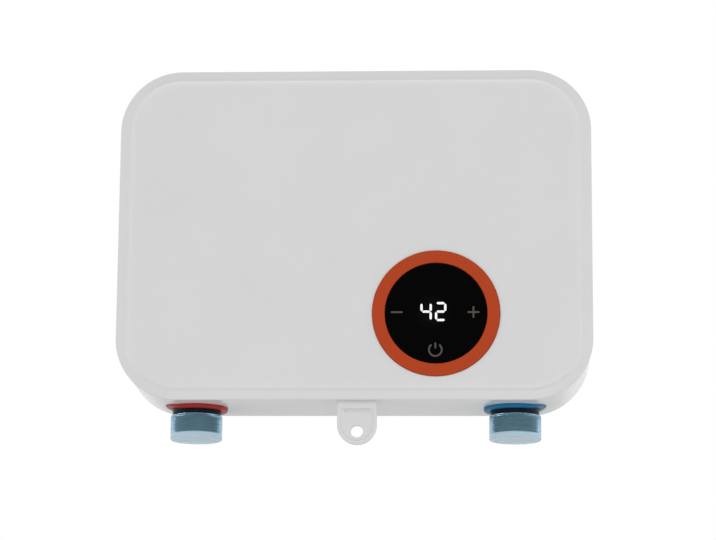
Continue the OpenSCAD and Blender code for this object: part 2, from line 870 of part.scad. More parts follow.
module inlet_fitting() {
    color([0.08, 0.08, 0.09]) fitting(inlet_x, inlet_shank_top, false);
}

module dust_cap(x) {
    inner = cap_r - cap_t;
    floor_z = cap_end + cap_dish + cap_floor_t;
    bead_low = neck_end - relief_h + 0.2;
    translate([x, -pipe_depth, 0]) rotate_extrude($fn = 96)
        polygon([[0, cap_end + cap_dish], [cap_dish_r, cap_end + cap_dish], [cap_dish_r, cap_end],
            [cap_r - cap_chamfer, cap_end], [cap_r, cap_end + cap_chamfer], [cap_r, cap_top],
            [bead_r + 0.3, cap_top], [bead_r, cap_top - 0.3], [bead_r, bead_low + 0.2],
            [inner, bead_low - 0.3], [inner, floor_z], [0, floor_z]]);
}

module outlet_cap() {
    color([0.55, 0.7, 0.8, 0.6]) dust_cap(outlet_x);
}

module inlet_cap() {
    color([0.55, 0.7, 0.8, 0.6]) dust_cap(inlet_x);
}

// Strainer basket with slots, let into the mouth of the inlet
module inlet_strainer() {
    slots = 8;
    low = thread_end + mouth_h;
    color("gainsboro") difference() {
        union() {
            bar_z(inlet_x, pipe_depth, low - strainer_flange_t, low, mouth_r - slip_gap);
            bar_z(inlet_x, pipe_depth, low - strainer_flange_t, strainer_top, strainer_r);
        }
        bar_z(inlet_x, pipe_depth, low - strainer_flange_t - past, strainer_top - strainer_t,
            strainer_r - strainer_t);
        for (i = [0:slots / 2 - 1]) translate([inlet_x, -pipe_depth, low + 2])
            rotate([0, 0, i * 360 / slots]) translate([-strainer_r - 1, -0.6, 0])
                cube([2 * strainer_r + 2, 1.2, strainer_top - low - 4]);
    }
}

// Flow sensor: body with two bearing spiders, turbine with its shaft, hall board in front

module spider(z) {
    bar_z(inlet_x, pipe_depth, z, z + spider_t, spider_hub_r);
    for (a = [0, 90]) translate([inlet_x, -pipe_depth, z]) rotate([0, 0, a])
        translate([-chamber_r - 0.5, -spider_bar / 2, 0]) cube([2 * chamber_r + 1, spider_bar, spider_t]);
}

spider_low = sensor_low + sensor_socket + 1;
spider_high = sensor_high - sensor_socket - 1 - spider_t;

module flow_sensor_body() {
    low_in = sensor_low + sensor_socket;
    high_in = sensor_high - sensor_socket;
    color("ivory") difference() {
        union() {
            difference() {
                union() {
                    bar_z(inlet_x, pipe_depth, sensor_low, sensor_high, sensor_r);
                    block(inlet_x - hall_seat_w / 2, inlet_x + hall_seat_w / 2, pipe_depth, hall_depth,
                        spider_low, spider_high + spider_t);
                }
                bar_z(inlet_x, pipe_depth, low_in - past, high_in, chamber_r);
            }
            spider(spider_low);
            spider(spider_high);
        }
        bar_z(inlet_x, pipe_depth, sensor_low - past, low_in, shank_r + socket_gap);
        bar_z(inlet_x, pipe_depth, sensor_low - past, sensor_low + seal_groove_h,
            shank_r + 2 * seal_wire_r + socket_gap);
        bar_z(inlet_x, pipe_depth, high_in - past, sensor_high + past, pipe_r + socket_gap);
        bar_z(inlet_x, pipe_depth, sensor_high - seal_groove_h, sensor_high + past,
            pipe_r + 2 * seal_wire_r + socket_gap);
        bar_z(inlet_x, pipe_depth, low_in, high_in, shaft_r + running_gap);
    }
}

module flow_turbine() {
    low = spider_low + spider_t + end_play;
    high = spider_high - end_play;
    color("white") {
        bar_z(inlet_x, pipe_depth, spider_low + 0.3, spider_high + spider_t - 0.3, shaft_r);
        bar_z(inlet_x, pipe_depth, low, high, turbine_hub_r);
        intersection() {
            bar_z(inlet_x, pipe_depth, low + 1, high - 1, chamber_r - blade_gap);
            for (i = [0:blades - 1]) translate([inlet_x, -pipe_depth, (low + high) / 2])
                rotate([0, 0, i * 360 / blades]) rotate([blade_tilt, 0, 0])
                    translate([turbine_hub_r - 1, -blade_t / 2, -chamber_r])
                        cube([chamber_r, blade_t, 2 * chamber_r]);
        }
    }
}

module hall_board() {
    color("green") block(inlet_x - hall_seat_w / 2, inlet_x + hall_seat_w / 2, hall_depth,
        hall_depth + hall_t, spider_low, spider_high + spider_t);
}

// Pipes and their seals

module pipe(x, low) {
    difference() {
        bar_z(x, pipe_depth, low, port_low + port_socket - 0.3, pipe_r);
        bar_z(x, pipe_depth, low - past, port_low + port_socket + past, pipe_r - pipe_t);
    }
}

module inlet_pipe() {
    color("silver") pipe(inlet_x, sensor_high - sensor_socket + 0.3);
}

module outlet_pipe() {
    color("silver") pipe(outlet_x, outlet_shank_top - port_socket + 0.3);
}

module seal_ring(x, z, r) {
    translate([x, -pipe_depth, z]) rotate_extrude()
        translate([r + seal_wire_r + socket_gap / 2, 0]) circle(seal_wire_r, $fn = 24);
}

module pipe_seals() {
    half = seal_groove_h / 2;
    color("black") {
        seal_ring(outlet_x, port_low + half, pipe_r);
        seal_ring(inlet_x, port_low + half, pipe_r);
        seal_ring(outlet_x, outlet_shank_top - half, pipe_r);
        seal_ring(inlet_x, sensor_high - half, pipe_r);
        seal_ring(inlet_x, sensor_low + half, shank_r);
    }
}

// Tank: steel tube between two moulded end caps, drawn together by tie rods

module heating_tank() {
    color("silver") difference() {
        bar_x(-tank_half, tank_half, tank_depth, tank_z, tank_r);
        bar_x(-tank_half - past, tank_half + past, tank_depth, tank_z, tank_r - tank_t);
    }
}

// Calls its child for each of the four tie rod places
module at_rods() {
    for (sd = [-1, 1], sz = [-1, 1])
        translate([0, -tank_depth - sd * rod_offset, tank_z + sz * rod_offset]) children();
}

// End cap drawn for the right side
module end_cap() {
    x = pipe_spacing / 2;
    difference() {
        union() {
            bar_x(cap_in, cap_out, tank_depth, tank_z, end_cap_r);
            bar_z(x, pipe_depth, port_low, tank_z, port_r);
            at_rods() translate([cap_in, 0, 0]) rotate([0, 90, 0]) cylinder(h = lug_l, r = lug_r);
        }
        bar_x(cap_in - past, cap_seat, tank_depth, tank_z, tank_r + socket_gap);
        bar_x(cap_seat - past, cap_out - cap_wall, tank_depth, tank_z, cap_chamber_r);
        bar_z(x, pipe_depth, port_low - past, tank_z, pipe_r - pipe_t);
        bar_z(x, pipe_depth, port_low - past, port_low + port_socket, pipe_r + socket_gap);
        bar_z(x, pipe_depth, port_low - past, port_low + seal_groove_h,
            pipe_r + 2 * seal_wire_r + socket_gap);
        at_rods() translate([cap_in - past, 0, 0]) rotate([0, 90, 0])
            cylinder(h = lug_l + 2 * past, r = rod_r + 0.15);
    }
}

module cold_end_cap() {
    color("dimgray") difference() {
        end_cap();
        bar_x(cap_out - cap_wall - past, cap_out + past, tank_depth, tank_z, probe_thread_r + fit_gap);
    }
}

module hot_end_cap() {
    color("dimgray") difference() {
        mirror([1, 0, 0]) end_cap();
        for (s = [-1, 1]) bar_x(-cap_out - past, -cap_out + cap_wall + past, tank_depth,
            tank_z + s * element_half, element_r + socket_gap);
        bar_x(-cap_out - past, -cap_out + cap_wall + past, hot_probe_depth, tank_z,
            probe_thread_r + fit_gap);
    }
}

module tank_gaskets() {
    color("black") for (s = [-1, 1]) difference() {
        bar_x(s * (tank_half + gasket_t / 2) - gasket_t / 2, s * (tank_half + gasket_t / 2) + gasket_t / 2,
            tank_depth, tank_z, tank_r);
        bar_x(-cap_out, cap_out, tank_depth, tank_z, tank_r - 2.5);
    }
}

module tie_rods() {
    l = cap_in + lug_l + nut_t + 0.6;
    color("silver") at_rods() translate([-l, 0, 0]) rotate([0, 90, 0]) cylinder(h = 2 * l, r = rod_r);
}

module tie_rod_nuts() {
    color("silver") at_rods() for (s = [-1, 1])
        translate([s * (cap_in + lug_l + nut_t / 2) - nut_t / 2, 0, 0]) rotate([0, 90, 0]) difference() {
            cylinder(h = nut_t, r = nut_r, $fn = 6);
            translate([0, 0, -past]) cylinder(h = nut_t + 2 * past, r = rod_r + fit_gap);
        }
}

// Hairpin element whose legs leave through the hot end cap
module heating_element() {
    color("slategray") {
        for (s = [-1, 1]) {
            bar_x(element_end, element_turn_x, tank_depth, tank_z + s * element_half, element_r);
            bar_x(element_pin_end, element_end + 1, tank_depth, tank_z + s * element_half, element_pin_r);
        }
        translate([element_turn_x, -tank_depth, tank_z]) rotate([90, 0, 0])
            rotate([0, 0, -90]) rotate_extrude(angle = 180) translate([element_half, 0]) circle(element_r);
    }
}

module element_nuts() {
    color("goldenrod") for (s = [-1, 1]) difference() {
        translate([-cap_out - element_nut_t, -tank_depth, tank_z + s * element_half]) rotate([0, 90, 0])
            rotate([0, 0, 30]) cylinder(h = element_nut_t, r = element_nut_r, $fn = 6);
        bar_x(-cap_out - element_nut_t - past, -cap_out + past, tank_depth, tank_z + s * element_half,
            element_r + fit_gap);
    }
}

// Steel straps that hold the tank on the ribs of the rear shell
module tank_straps() {
    front = tank_depth - strap_t / 2;
    color("lightgray") for (s = [-1, 1]) difference() {
        union() {
            intersection() {
                bar_x(s * strap_x - strap_w / 2, s * strap_x + strap_w / 2, tank_depth, tank_z,
                    tank_r + fit_gap + strap_t);
                block(-casing_w, casing_w, front, seam_depth, tank_z - strap_foot, tank_z + strap_foot);
            }
            for (sz = [-1, 1]) block(s * strap_x - strap_w / 2, s * strap_x + strap_w / 2, front,
                front + strap_t, tank_z + (sz > 0 ? tank_r : -strap_foot),
                tank_z + (sz > 0 ? strap_foot : -tank_r));
        }
        bar_x(s * strap_x - strap_w, s * strap_x + strap_w, tank_depth, tank_z, tank_r + fit_gap);
        for (sz = [-1, 1]) bar_y(s * strap_x, tank_z + sz * strap_reach, front - past,
            front + strap_t + past, screw_r + 0.15);
    }
}

module strap_screws() {
    color("silver") for (sx = [-1, 1], sz = [-1, 1])
        screw_y(sx * strap_x, tank_z + sz * strap_reach, tank_depth + strap_t / 2, strap_screw_l,
            screw_r, screw_head_r, screw_head_h);
}

// Thermal cut-out with a reset button, on an aluminium saddle over the hot end of the tank

module cutout_holes(z0, z1, r) {
    for (s = [-1, 1]) bar_z(cutout_x + s * cutout_ear, tank_depth, z0, z1, r);
}

module cutout_saddle() {
    color("silver") difference() {
        block(cutout_x - saddle_w / 2, cutout_x + saddle_w / 2, tank_depth - saddle_l / 2,
            tank_depth + saddle_l / 2, tank_z + tank_r - 4, saddle_top);
        bar_x(cutout_x - saddle_w, cutout_x + saddle_w, tank_depth, tank_z, tank_r + fit_gap);
        cutout_holes(tank_z, saddle_top + past, cutout_screw_r + fit_gap);
    }
}

module thermal_cutout() {
    color([0.15, 0.15, 0.15]) difference() {
        union() {
            bar_z(cutout_x, tank_depth, saddle_top, saddle_top + cutout_base_h, cutout_base_r);
            bar_z(cutout_x, tank_depth, saddle_top, cutout_top, cutout_body_r);
            block(cutout_x - saddle_w / 2 + 2, cutout_x + saddle_w / 2 - 2, tank_depth - 5,
                tank_depth + 5, saddle_top, saddle_top + cutout_ear_t);
            block(cutout_x - cutout_body_r - blade_l, cutout_x + cutout_body_r + blade_l,
                tank_depth - 3, tank_depth + 3, saddle_top + blade_rise, saddle_top + blade_rise + 0.8);
        }
        cutout_holes(saddle_top - past, saddle_top + cutout_ear_t + past, cutout_screw_r + 0.1);
        bar_z(cutout_x, tank_depth, cutout_top - button_in - button_travel - 0.3, cutout_top + past,
            button_r + slip_gap);
    }
}

module reset_button() {
    color("red") bar_z(cutout_x, tank_depth, cutout_top - button_in, cutout_top + button_out, button_r);
}

module cutout_screws() {
    color("silver") for (s = [-1, 1]) {
        x = cutout_x + s * cutout_ear;
        z = saddle_top + cutout_ear_t;
        bar_z(x, tank_depth, z - 3, z + 0.5, cutout_screw_r);
        bar_z(x, tank_depth, z, z + 1.6, 2.2);
    }
}

// Temperature sensors screwed into the end caps

module probe(side, d) {
    module part_x(a, b, r) {
        bar_x(min(side * a, side * b), max(side * a, side * b), d, tank_z, r);
    }
    part_x(cap_out - cap_wall, cap_out + 0.5, probe_thread_r);
    part_x(cap_out - cap_wall - 6, cap_out, probe_r);
    translate([side * (cap_out + probe_hex_t / 2) - probe_hex_t / 2, -d, tank_z]) rotate([0, 90, 0])
        cylinder(h = probe_hex_t, r = probe_hex_r, $fn = 6);
    part_x(cap_out, cap_out + probe_hex_t + 2, probe_r + 0.5);
}

module temperature_sensors() {
    color("goldenrod") {
        probe(-1, hot_probe_depth);
        probe(1, tank_depth);
    }
}

// Power board on four posts, and the large pieces that stand on it

module board_places() {
    for (x = [board_left + board_post_inset, board_right - board_post_inset],
            z = [board_low + board_post_inset, board_high - board_post_inset])
        translate([x, 0, z]) children();
}

module power_board() {
    color("darkgreen") difference() {
        union() {
            block(board_left, board_right, board_depth, board_front, board_low, board_high);
            block(16, 30, board_front - board_t / 2, board_front + 1.8, board_low + 22, board_low + 36);
            block(2, 14, board_front - board_t / 2, board_front + 7, board_low + 3, board_low + 9);
            block(38, 48, board_front - board_t / 2, board_front + 6, board_low + 8, board_low + 14);
        }
        board_places() bar_y(0, 0, board_depth - past, board_front + past, screw_r + 0.15);
    }
}

module board_screws() {
    color("silver") board_places()
        screw_y(0, 0, board_front, 6, screw_r, screw_head_r, screw_head_h);
}

module relay() {
    color("black") block(relay_x, relay_x + relay_w, board_front, board_front + relay_l, relay_z,
        relay_z + relay_h);
}

module transformer() {
    core_t = 7;
    w = 22;
    h = 20;
    color("goldenrod") {
        block(transformer_x, transformer_x + w, board_front, board_front + 18, relay_z + core_t,
            relay_z + h - core_t);
        block(transformer_x + 3, transformer_x + w - 3, board_front, board_front + 15, relay_z,
            relay_z + h);
    }
}

module capacitor() {
    color("gold") block(transformer_x, transformer_x + 18, board_front, board_front + 14,
        capacitor_z, capacitor_z + 10);
}

module triac() {
    leg = 0.8;
    back = triac_depth + 1.6;
    foot = board_high - 6;
    top = triac_low + triac_h;
    color([0.12, 0.12, 0.12]) {
        block(triac_x - 5, triac_x + 5, triac_depth, triac_depth + triac_t, triac_low, top);
        block(triac_x - 5, triac_x + 5, triac_depth + triac_t - 1.3, triac_depth + triac_t, top - 1,
            top + triac_tab_h);
        for (i = [-1:1]) {
            x = triac_x + i * 2.54 - leg / 2;
            block(x, x + leg, back, back + leg, foot, triac_low + 1);
            block(x, x + leg, board_front, back + leg, foot, foot + leg);
        }
    }
}

// Aluminium block that carries the triac's heat into the cold end of the tank
module heat_sink() {
    color("silver") difference() {
        block(sink_x, sink_x + sink_w, triac_depth + triac_t, tank_depth + 8, sink_low, tank_z - tank_r + 4);
        bar_x(sink_x - 1, sink_x + sink_w + 1, tank_depth, tank_z, tank_r + fit_gap);
    }
}

// Terminal block with three poles, cable grommet and cable clamp

module terminal_block() {
    face = back_t + terminal_l;
    color("ivory") difference() {
        block(terminal_x, terminal_x + terminal_w, back_t, face, terminal_low, terminal_high);
        for (i = [0:2]) {
            x = pole_first + i * pole_pitch;
            bar_z(x, pole_depth, terminal_low + 2, terminal_high + past, 2.6);
            for (z = [terminal_low + 4, terminal_high - 4]) bar_y(x, z, pole_depth, face + past, 2.5);
        }
    }
}

module terminal_screws() {
    color("silver") for (i = [0:2], z = [terminal_low + 4, terminal_high - 4])
        bar_y(pole_first + i * pole_pitch, z, pole_depth + 3, back_t + terminal_l - 4, 2.45);
}

module cable_grommet() {
    color([0.12, 0.12, 0.12]) difference() {
        union() {
            bar_y(cable_x, cable_z, 0, back_t + 1, grommet_r);
            bar_y(cable_x, cable_z, back_t, back_t + grommet_flange_t, grommet_flange_r);
            bar_y(cable_x, cable_z, back_t, grommet_l, grommet_r - 1);
        }
        bar_y(cable_x, cable_z, -past, grommet_l + past, cable_r);
        translate([cable_x, 0, cable_z]) rotate([90, 0, 0])
            cylinder(h = grommet_flare_l, r1 = cable_r + grommet_flare, r2 = cable_r);
    }
}

module cable_clamp() {
    reach = clamp_reach + clamp_boss_r;
    color("ivory") difference() {
        block(clamp_x - clamp_w / 2, clamp_x + clamp_w / 2, clamp_depth, clamp_depth + clamp_t,
            cable_z - reach, cable_z + reach);
        bar_x(clamp_x - clamp_w, clamp_x + clamp_w, cable_depth, cable_z, cable_r);
        for (s = [-1, 1]) bar_y(clamp_x, cable_z + s * clamp_reach, clamp_depth - past,
            clamp_depth + clamp_t + past, screw_r + 0.15);
    }
}

module clamp_screws() {
    color("silver") for (s = [-1, 1])
        screw_y(clamp_x, cable_z + s * clamp_reach, clamp_depth + clamp_t, 10, screw_r, 2.6, 2);
}

// Inner leads, each a smooth line through points written as x, depth and height.
// Behind the tank they lie midway between it and the back wall.

cutout_blade_z = saddle_top + blade_rise + 0.4;
behind_tank = (back_t + tank_depth - tank_r) / 2;
relay_top = relay_z + relay_h;
mains_r = 1.1;
element_lead_r = 1.2;
signal_r = 0.8;

module live_lead() {
    tip = cutout_x + cutout_body_r + blade_l;
    low = terminal_low - 2;
    color("saddlebrown") lead([[pole_first, pole_depth, terminal_low], [pole_first, pole_depth, low],
        [pole_first - 3, pole_depth + 4, low - 1], [pole_first - 8, tank_depth - 5, low],
        [tip + 2, tank_depth, cutout_blade_z], [tip, tank_depth, cutout_blade_z]], mains_r);
}

module switched_lead() {
    tip = cutout_x - cutout_body_r - blade_l;
    x = cutout_x - 11;
    color("black") lead([[tip, tank_depth, cutout_blade_z], [tip - 2, tank_depth, cutout_blade_z],
        [x - 3, tank_depth - 6, cutout_blade_z - 0.4], [x - 2, 12, tank_z + 25], [x, 6, tank_z + 18],
        [x, behind_tank, tank_z + 8], [x, behind_tank, tank_z - 8], [x, behind_tank, tank_z - 22],
        [x - 1, 7, tank_z - 34], [x - 5, 15, board_high - 2],
        [relay_x + 12, 22, (board_high + relay_top) / 2 + 2.5], [relay_x + 10, 24, relay_top + 9],
        [relay_x + 10, 24, relay_top + 4], [relay_x + 10, 24, relay_top]], mains_r);
}

module neutral_lead() {
    x = pole_first + pole_pitch;
    foot = board_high - 12;
    color("royalblue") lead([[x, pole_depth, terminal_low], [x, pole_depth, terminal_low - 2],
        [14, 7, tank_z + 21], [8, behind_tank, tank_z + 14], [2, behind_tank, tank_z],
        [-2, behind_tank, tank_z - 16], [-2, behind_tank, tank_z - 28], [-2, 9, tank_z - 36],
        [-2, 14, board_high - 1], [-2, 15.5, board_high - 8], [-2, 13.5, foot], [-2, board_front, foot]],
        mains_r);
}

module earth_lead() {
    x = pole_first + 2 * pole_pitch;
    low = terminal_low - 3;
    color("yellowgreen") lead([[x, pole_depth, terminal_low], [x, pole_depth, low + 1], [x, 15, low],
        [x + 1, tank_depth - 4, low], [strap_x - 8, tank_depth, tank_z + 24],
        [strap_x - strap_w / 2, tank_depth, tank_z + 24]], mains_r);
}

module element_leads() {
    pin = element_pin_end;
    x = board_left + 4;
    color("whitesmoke") {
        lead([[pin, tank_depth, tank_z - element_half], [pin - 2.5, tank_depth, tank_z - element_half],
            [pin - 4.6, tank_depth, tank_z - 12], [pin - 4.6, tank_depth - 2, tank_z - 26],
            [pin - 3, 18, board_high + 2], [x - 40, 12, board_high - 8], [x - 28, 9, board_high - 14],
            [x - 14, 12, board_high - 16], [x - 4, 15, board_high - 16], [x, 14, board_high - 16],
            [x, board_front, board_high - 16]], element_lead_r);
        lead([[pin, tank_depth, tank_z + element_half], [pin - 4, tank_depth, tank_z + element_half],
            [pin - 7.6, tank_depth + 1, tank_z], [pin - 7.6, tank_depth + 1, tank_z - 20],
            [pin - 7, 24, board_high + 4], [pin - 2, 15, board_high - 14], [x - 32, 9, board_high - 24],
            [x - 14, 12, board_high - 28], [x - 4, 15, board_high - 28], [x, 14, board_high - 28],
            [x, board_front, board_high - 28]], element_lead_r);
    }
}

module sensor_leads() {
    tip = cap_out + probe_hex_t + 2;
    hall_front = hall_depth + hall_t;
    left = board_left + 8;
    right = board_right - 6;
    color("dimgray") {
        lead([[-tip, hot_probe_depth, tank_z], [-tip - 2, hot_probe_depth, tank_z],
            [-tip - 4, hot_probe_depth + 2, tank_z - 4], [-tip - 4, hot_probe_depth + 3, tank_z - 20],
            [-tip, 39, board_high + 6], [left - 34, 38, board_high - 6],
            [left - 20, 36, board_high - 12], [left - 8, 26, board_high - 10],
            [left, 16, board_high - 10], [left, board_front, board_high - 10]], signal_r);
        lead([[tip, tank_depth, tank_z], [tip + 2, tank_depth, tank_z],
            [tip + 6, tank_depth + 2, tank_z - 4], [tip + 7, tank_depth + 6, tank_z - 20],
            [tip + 4, 38, board_high + 4], [right + 38, 39.5, board_high - 8],
            [right + 24, 38, board_high - 16], [right + 12, 30, board_high - 20],
            [right, 18, board_high - 20], [right, board_front, board_high - 20]], signal_r);
        lead([[inlet_x, hall_front, spider_low + 3], [inlet_x, hall_front + 1.6, spider_low + 3],
            [inlet_x - 5, hall_front + 1.3, spider_low - 1], [right + 12, 30, board_low + 12],
            [right, 18, board_low + 12], [right, board_front, board_low + 12]], signal_r);
    }
}

rear_shell();
lower_ear();
front_cover();
cover_seal();
cover_screws();
bezel_ring();
display_lens();
key_signs();
lit_digits();
digit_module();
display_board();
display_screws();
touch_springs();
display_ribbon();
outlet_collar();
inlet_collar();
outlet_fitting();
inlet_fitting();
outlet_cap();
inlet_cap();
inlet_strainer();
flow_sensor_body();
flow_turbine();
hall_board();
inlet_pipe();
outlet_pipe();
pipe_seals();
heating_tank();
hot_end_cap();
cold_end_cap();
tank_gaskets();
tie_rods();
tie_rod_nuts();
heating_element();
element_nuts();
tank_straps();
strap_screws();
cutout_saddle();
thermal_cutout();
reset_button();
cutout_screws();
temperature_sensors();
power_board();
board_screws();
relay();
transformer();
capacitor();
triac();
heat_sink();
terminal_block();
terminal_screws();
cable_grommet();
cable_clamp();
clamp_screws();
live_lead();
switched_lead();
neutral_lead();
earth_lead();
element_leads();
sensor_leads();
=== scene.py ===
"""Wall-hung tankless water heater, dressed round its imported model.

Sizes are written in millimetres and turned into metres by MM. A depth is a distance from the wall,
so a point at depth d has y = -d. The heater's front looks along -Y.
"""
import math

import bmesh
import bpy
import numpy as np
from mathutils import Matrix


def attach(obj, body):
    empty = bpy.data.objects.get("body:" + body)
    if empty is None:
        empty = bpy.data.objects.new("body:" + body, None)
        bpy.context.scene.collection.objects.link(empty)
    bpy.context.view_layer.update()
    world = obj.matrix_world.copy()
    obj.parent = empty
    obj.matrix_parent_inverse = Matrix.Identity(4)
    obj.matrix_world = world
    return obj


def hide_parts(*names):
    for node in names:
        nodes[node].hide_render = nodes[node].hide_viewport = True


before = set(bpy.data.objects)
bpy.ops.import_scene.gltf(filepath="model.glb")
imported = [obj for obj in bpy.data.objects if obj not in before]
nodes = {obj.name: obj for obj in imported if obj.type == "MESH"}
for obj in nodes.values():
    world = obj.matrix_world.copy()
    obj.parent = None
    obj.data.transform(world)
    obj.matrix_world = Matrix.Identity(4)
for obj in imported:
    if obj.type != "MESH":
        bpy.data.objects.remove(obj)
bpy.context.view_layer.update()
MM = 0.001

# Camera: it stands low in front of the heater, a little right of its middle, and looks up at it.
# The shift frames the heater as in the picture of 716 by 540 pixels.
CAMERA_AT = (63.228, -1322.747, -301.288)
CAMERA_TURN = (3.2045, 12.4175, -0.5373)
CAMERA_LENS = 140.79
CAMERA_SENSOR = 36.0
CAMERA_SHIFT = (0.02995, 0.00821)
CAMERA_NEAR = 50.0
yaw, pitch, roll = (math.radians(a) for a in CAMERA_TURN)
turn = Matrix.Rotation(yaw, 3, "Z") @ Matrix.Rotation(pitch, 3, "X") @ Matrix.Rotation(roll, 3, "Y")
right, forward, up = (turn.col[i] for i in range(3))
camera = bpy.data.objects.new("camera", bpy.data.cameras.new("camera"))
camera.data.lens = CAMERA_LENS
camera.data.sensor_width = CAMERA_SENSOR
camera.data.shift_x, camera.data.shift_y = CAMERA_SHIFT
camera.data.clip_start = CAMERA_NEAR * MM
camera.matrix_world = Matrix.Translation([v * MM for v in CAMERA_AT]) @ Matrix(
    (right, up, -forward)).transposed().to_4x4()
bpy.context.scene.collection.objects.link(camera)
bpy.context.scene.camera = camera

# Front cover: one moulding of white ABS with a flat front, a step and a sloped band round it, and a
# lip that enters the rear shell. Four screws from behind pull it on by the posts inside it.
CASING_W, CASING_H, CORNER_R = 222.0, 158.0, 29.0
LIP_DEPTH, SEAM_DEPTH, INSIDE_DEPTH, DIAL_SEAT_DEPTH, FRONT_DEPTH = 45.0, 48.0, 50.0, 51.4, 52.4
DIAL = (38.4, -38.9)
STRAIGHT = 1e-6


def outline(corners, steps=6):
    """Closed line through corners (u, v) or (u, v, radius), each rounded by an arc of its radius.

    An arc starts and ends at its radius times the tangent of half the bend from its corner. Its spokes
    turn evenly from the first end's to the last one's: each is the sum of those two, weighted by the
    sine of the angle still to go and the sine of the angle done, over the sine of the bend.
    """
    places = [np.array(c[:2], float) for c in corners]
    radii = [c[2] if len(c) > 2 else 0.0 for c in corners]
    line = []
    for i, (here, radius) in enumerate(zip(places, radii)):
        before = places[i - 1] - here
        after = places[(i + 1) % len(places)] - here
        before, after = before / np.linalg.norm(before), after / np.linalg.norm(after)
        bend = math.pi - math.acos(np.clip(before @ after, -1, 1))
        if radius == 0 or bend < STRAIGHT:
            line.append(here[None])
            continue
        reach = radius * math.tan(bend / 2)
        middle = before + after
        centre = here + middle / np.linalg.norm(middle) * radius / math.cos(bend / 2)
        first, last = here + before * reach - centre, here + after * reach - centre
        t = np.linspace(0, 1, steps + 1)[:, None]
        line.append(centre + (np.sin((1 - t) * bend) * first + np.sin(t * bend) * last) / math.sin(bend))
    return np.concatenate(line)


SAME_POINT = 1e-7
SHARP_ANGLE = 32


def skin(name, grids, material, sharp=SHARP_ANGLE):
    """Piece made of grids of points in mm, rows by columns by 3, each grid closed both ways.

    A face joins each point with the next ones of its row and its column, and the last meet the first.
    Faces are smooth and break at edges past the sharp angle.
    """
    points, faces, start = [], [], 0
    for grid in grids:
        rows, columns = grid.shape[:2]
        r, c = np.meshgrid(np.arange(rows), np.arange(columns), indexing="ij")
        r2, c2 = (r + 1) % rows, (c + 1) % columns
        quads = [r * columns + c, r * columns + c2, r2 * columns + c2, r2 * columns + c]
        faces.append(start + np.stack(quads, -1).reshape(-1, 4))
        points.append(grid.reshape(-1, 3) * MM)
        start += rows * columns
    mesh = bpy.data.meshes.new(name)
    mesh.from_pydata(np.concatenate(points), [], np.concatenate(faces).tolist())
    bm = bmesh.new()
    bm.from_mesh(mesh)
    bmesh.ops.remove_doubles(bm, verts=bm.verts, dist=SAME_POINT)
    bmesh.ops.recalc_face_normals(bm, faces=bm.faces)
    bm.to_mesh(mesh)
    bm.free()
    mesh.shade_smooth()
    mesh.set_sharp_from_angle(angle=math.radians(sharp))
    mesh.materials.append(material)
    piece = bpy.data.objects.new(name, mesh)
    bpy.context.scene.collection.objects.link(piece)
    piece.modifiers.new("even_normals", "WEIGHTED_NORMAL").keep_sharp = True
    return piece


def seat(piece, body, slot, *stands_for):
    """The piece rides on a body and stands for CAD nodes, which are hidden. The slot is not used."""
    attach(piece, body)
    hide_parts(*stands_for)


def shader(name, color, roughness, **sockets):
    """Material with this colour and roughness; the other sockets are named with underscores."""
    material = bpy.data.materials.new(name)
    material.use_nodes = True
    surface = material.node_tree.nodes["Principled BSDF"]
    surface.inputs["Base Color"].default_value = (*color, 1)
    surface.inputs["Roughness"].default_value = roughness
    for socket, value in sockets.items():
        surface.inputs[socket.replace("_", " ")].default_value = value
    return material


def mottle(material, size, stretch=(1, 1, 1), detail=3.0):
    """Noise from 0 to 1 in patches of that size in mm, read from the piece's own coordinates."""
    tree = material.node_tree
    place = tree.nodes.new("ShaderNodeTexCoord")
    scale = tree.nodes.new("ShaderNodeMapping")
    noise = tree.nodes.new("ShaderNodeTexNoise")
    scale.inputs["Scale"].default_value = [s / (size * MM) for s in stretch]
    noise.inputs["Scale"].default_value = 1
    noise.inputs["Detail"].default_value = detail
    tree.links.new(place.outputs["Object"], scale.inputs["Vector"])
    tree.links.new(scale.outputs["Vector"], noise.inputs["Vector"])
    return noise.outputs["Fac"]


NOISE_LOW, NOISE_HIGH = 0.3, 0.7
COLOR_A, COLOR_B, COLOR_MIXED = 6, 7, 2


def vary(material, socket, value, low, high):
    """Map a value onto one socket of the shader, from low to high, which are numbers or colours.

    A colour is low and high mixed by the value. A number runs evenly from low to high between the two
    levels that most of a noise lies between, and stays there outside them.
    """
    tree = material.node_tree
    surface = tree.nodes["Principled BSDF"]
    if isinstance(low, tuple):
        mix = tree.nodes.new("ShaderNodeMix")
        mix.data_type = "RGBA"
        mix.inputs[COLOR_A].default_value = (*low, 1)
        mix.inputs[COLOR_B].default_value = (*high, 1)
        tree.links.new(value, mix.inputs[0])
        tree.links.new(mix.outputs[COLOR_MIXED], surface.inputs[socket])
        return
    spread = tree.nodes.new("ShaderNodeMapRange")
    spread.inputs["From Min"].default_value = NOISE_LOW
    spread.inputs["From Max"].default_value = NOISE_HIGH
    spread.inputs["To Min"].default_value = low
    spread.inputs["To Max"].default_value = high
    tree.links.new(value, spread.inputs["Value"])
    tree.links.new(spread.outputs["Result"], surface.inputs[socket])


def grain(material, value, depth):
    """Let a noise value raise the surface by up to depth in mm."""
    tree = material.node_tree
    bump = tree.nodes.new("ShaderNodeBump")
    bump.inputs["Distance"].default_value = depth * MM
    bump.inputs["Strength"].default_value = 1
    tree.links.new(value, bump.inputs["Height"])
    tree.links.new(bump.outputs["Normal"], tree.nodes["Principled BSDF"].inputs["Normal"])


GLOSS_PATCH, GLOSS_SPREAD = 9, (0.9, 1.12)
SHADE_PATCH, SHADE_SPREAD = 30, (0.975, 1.02)


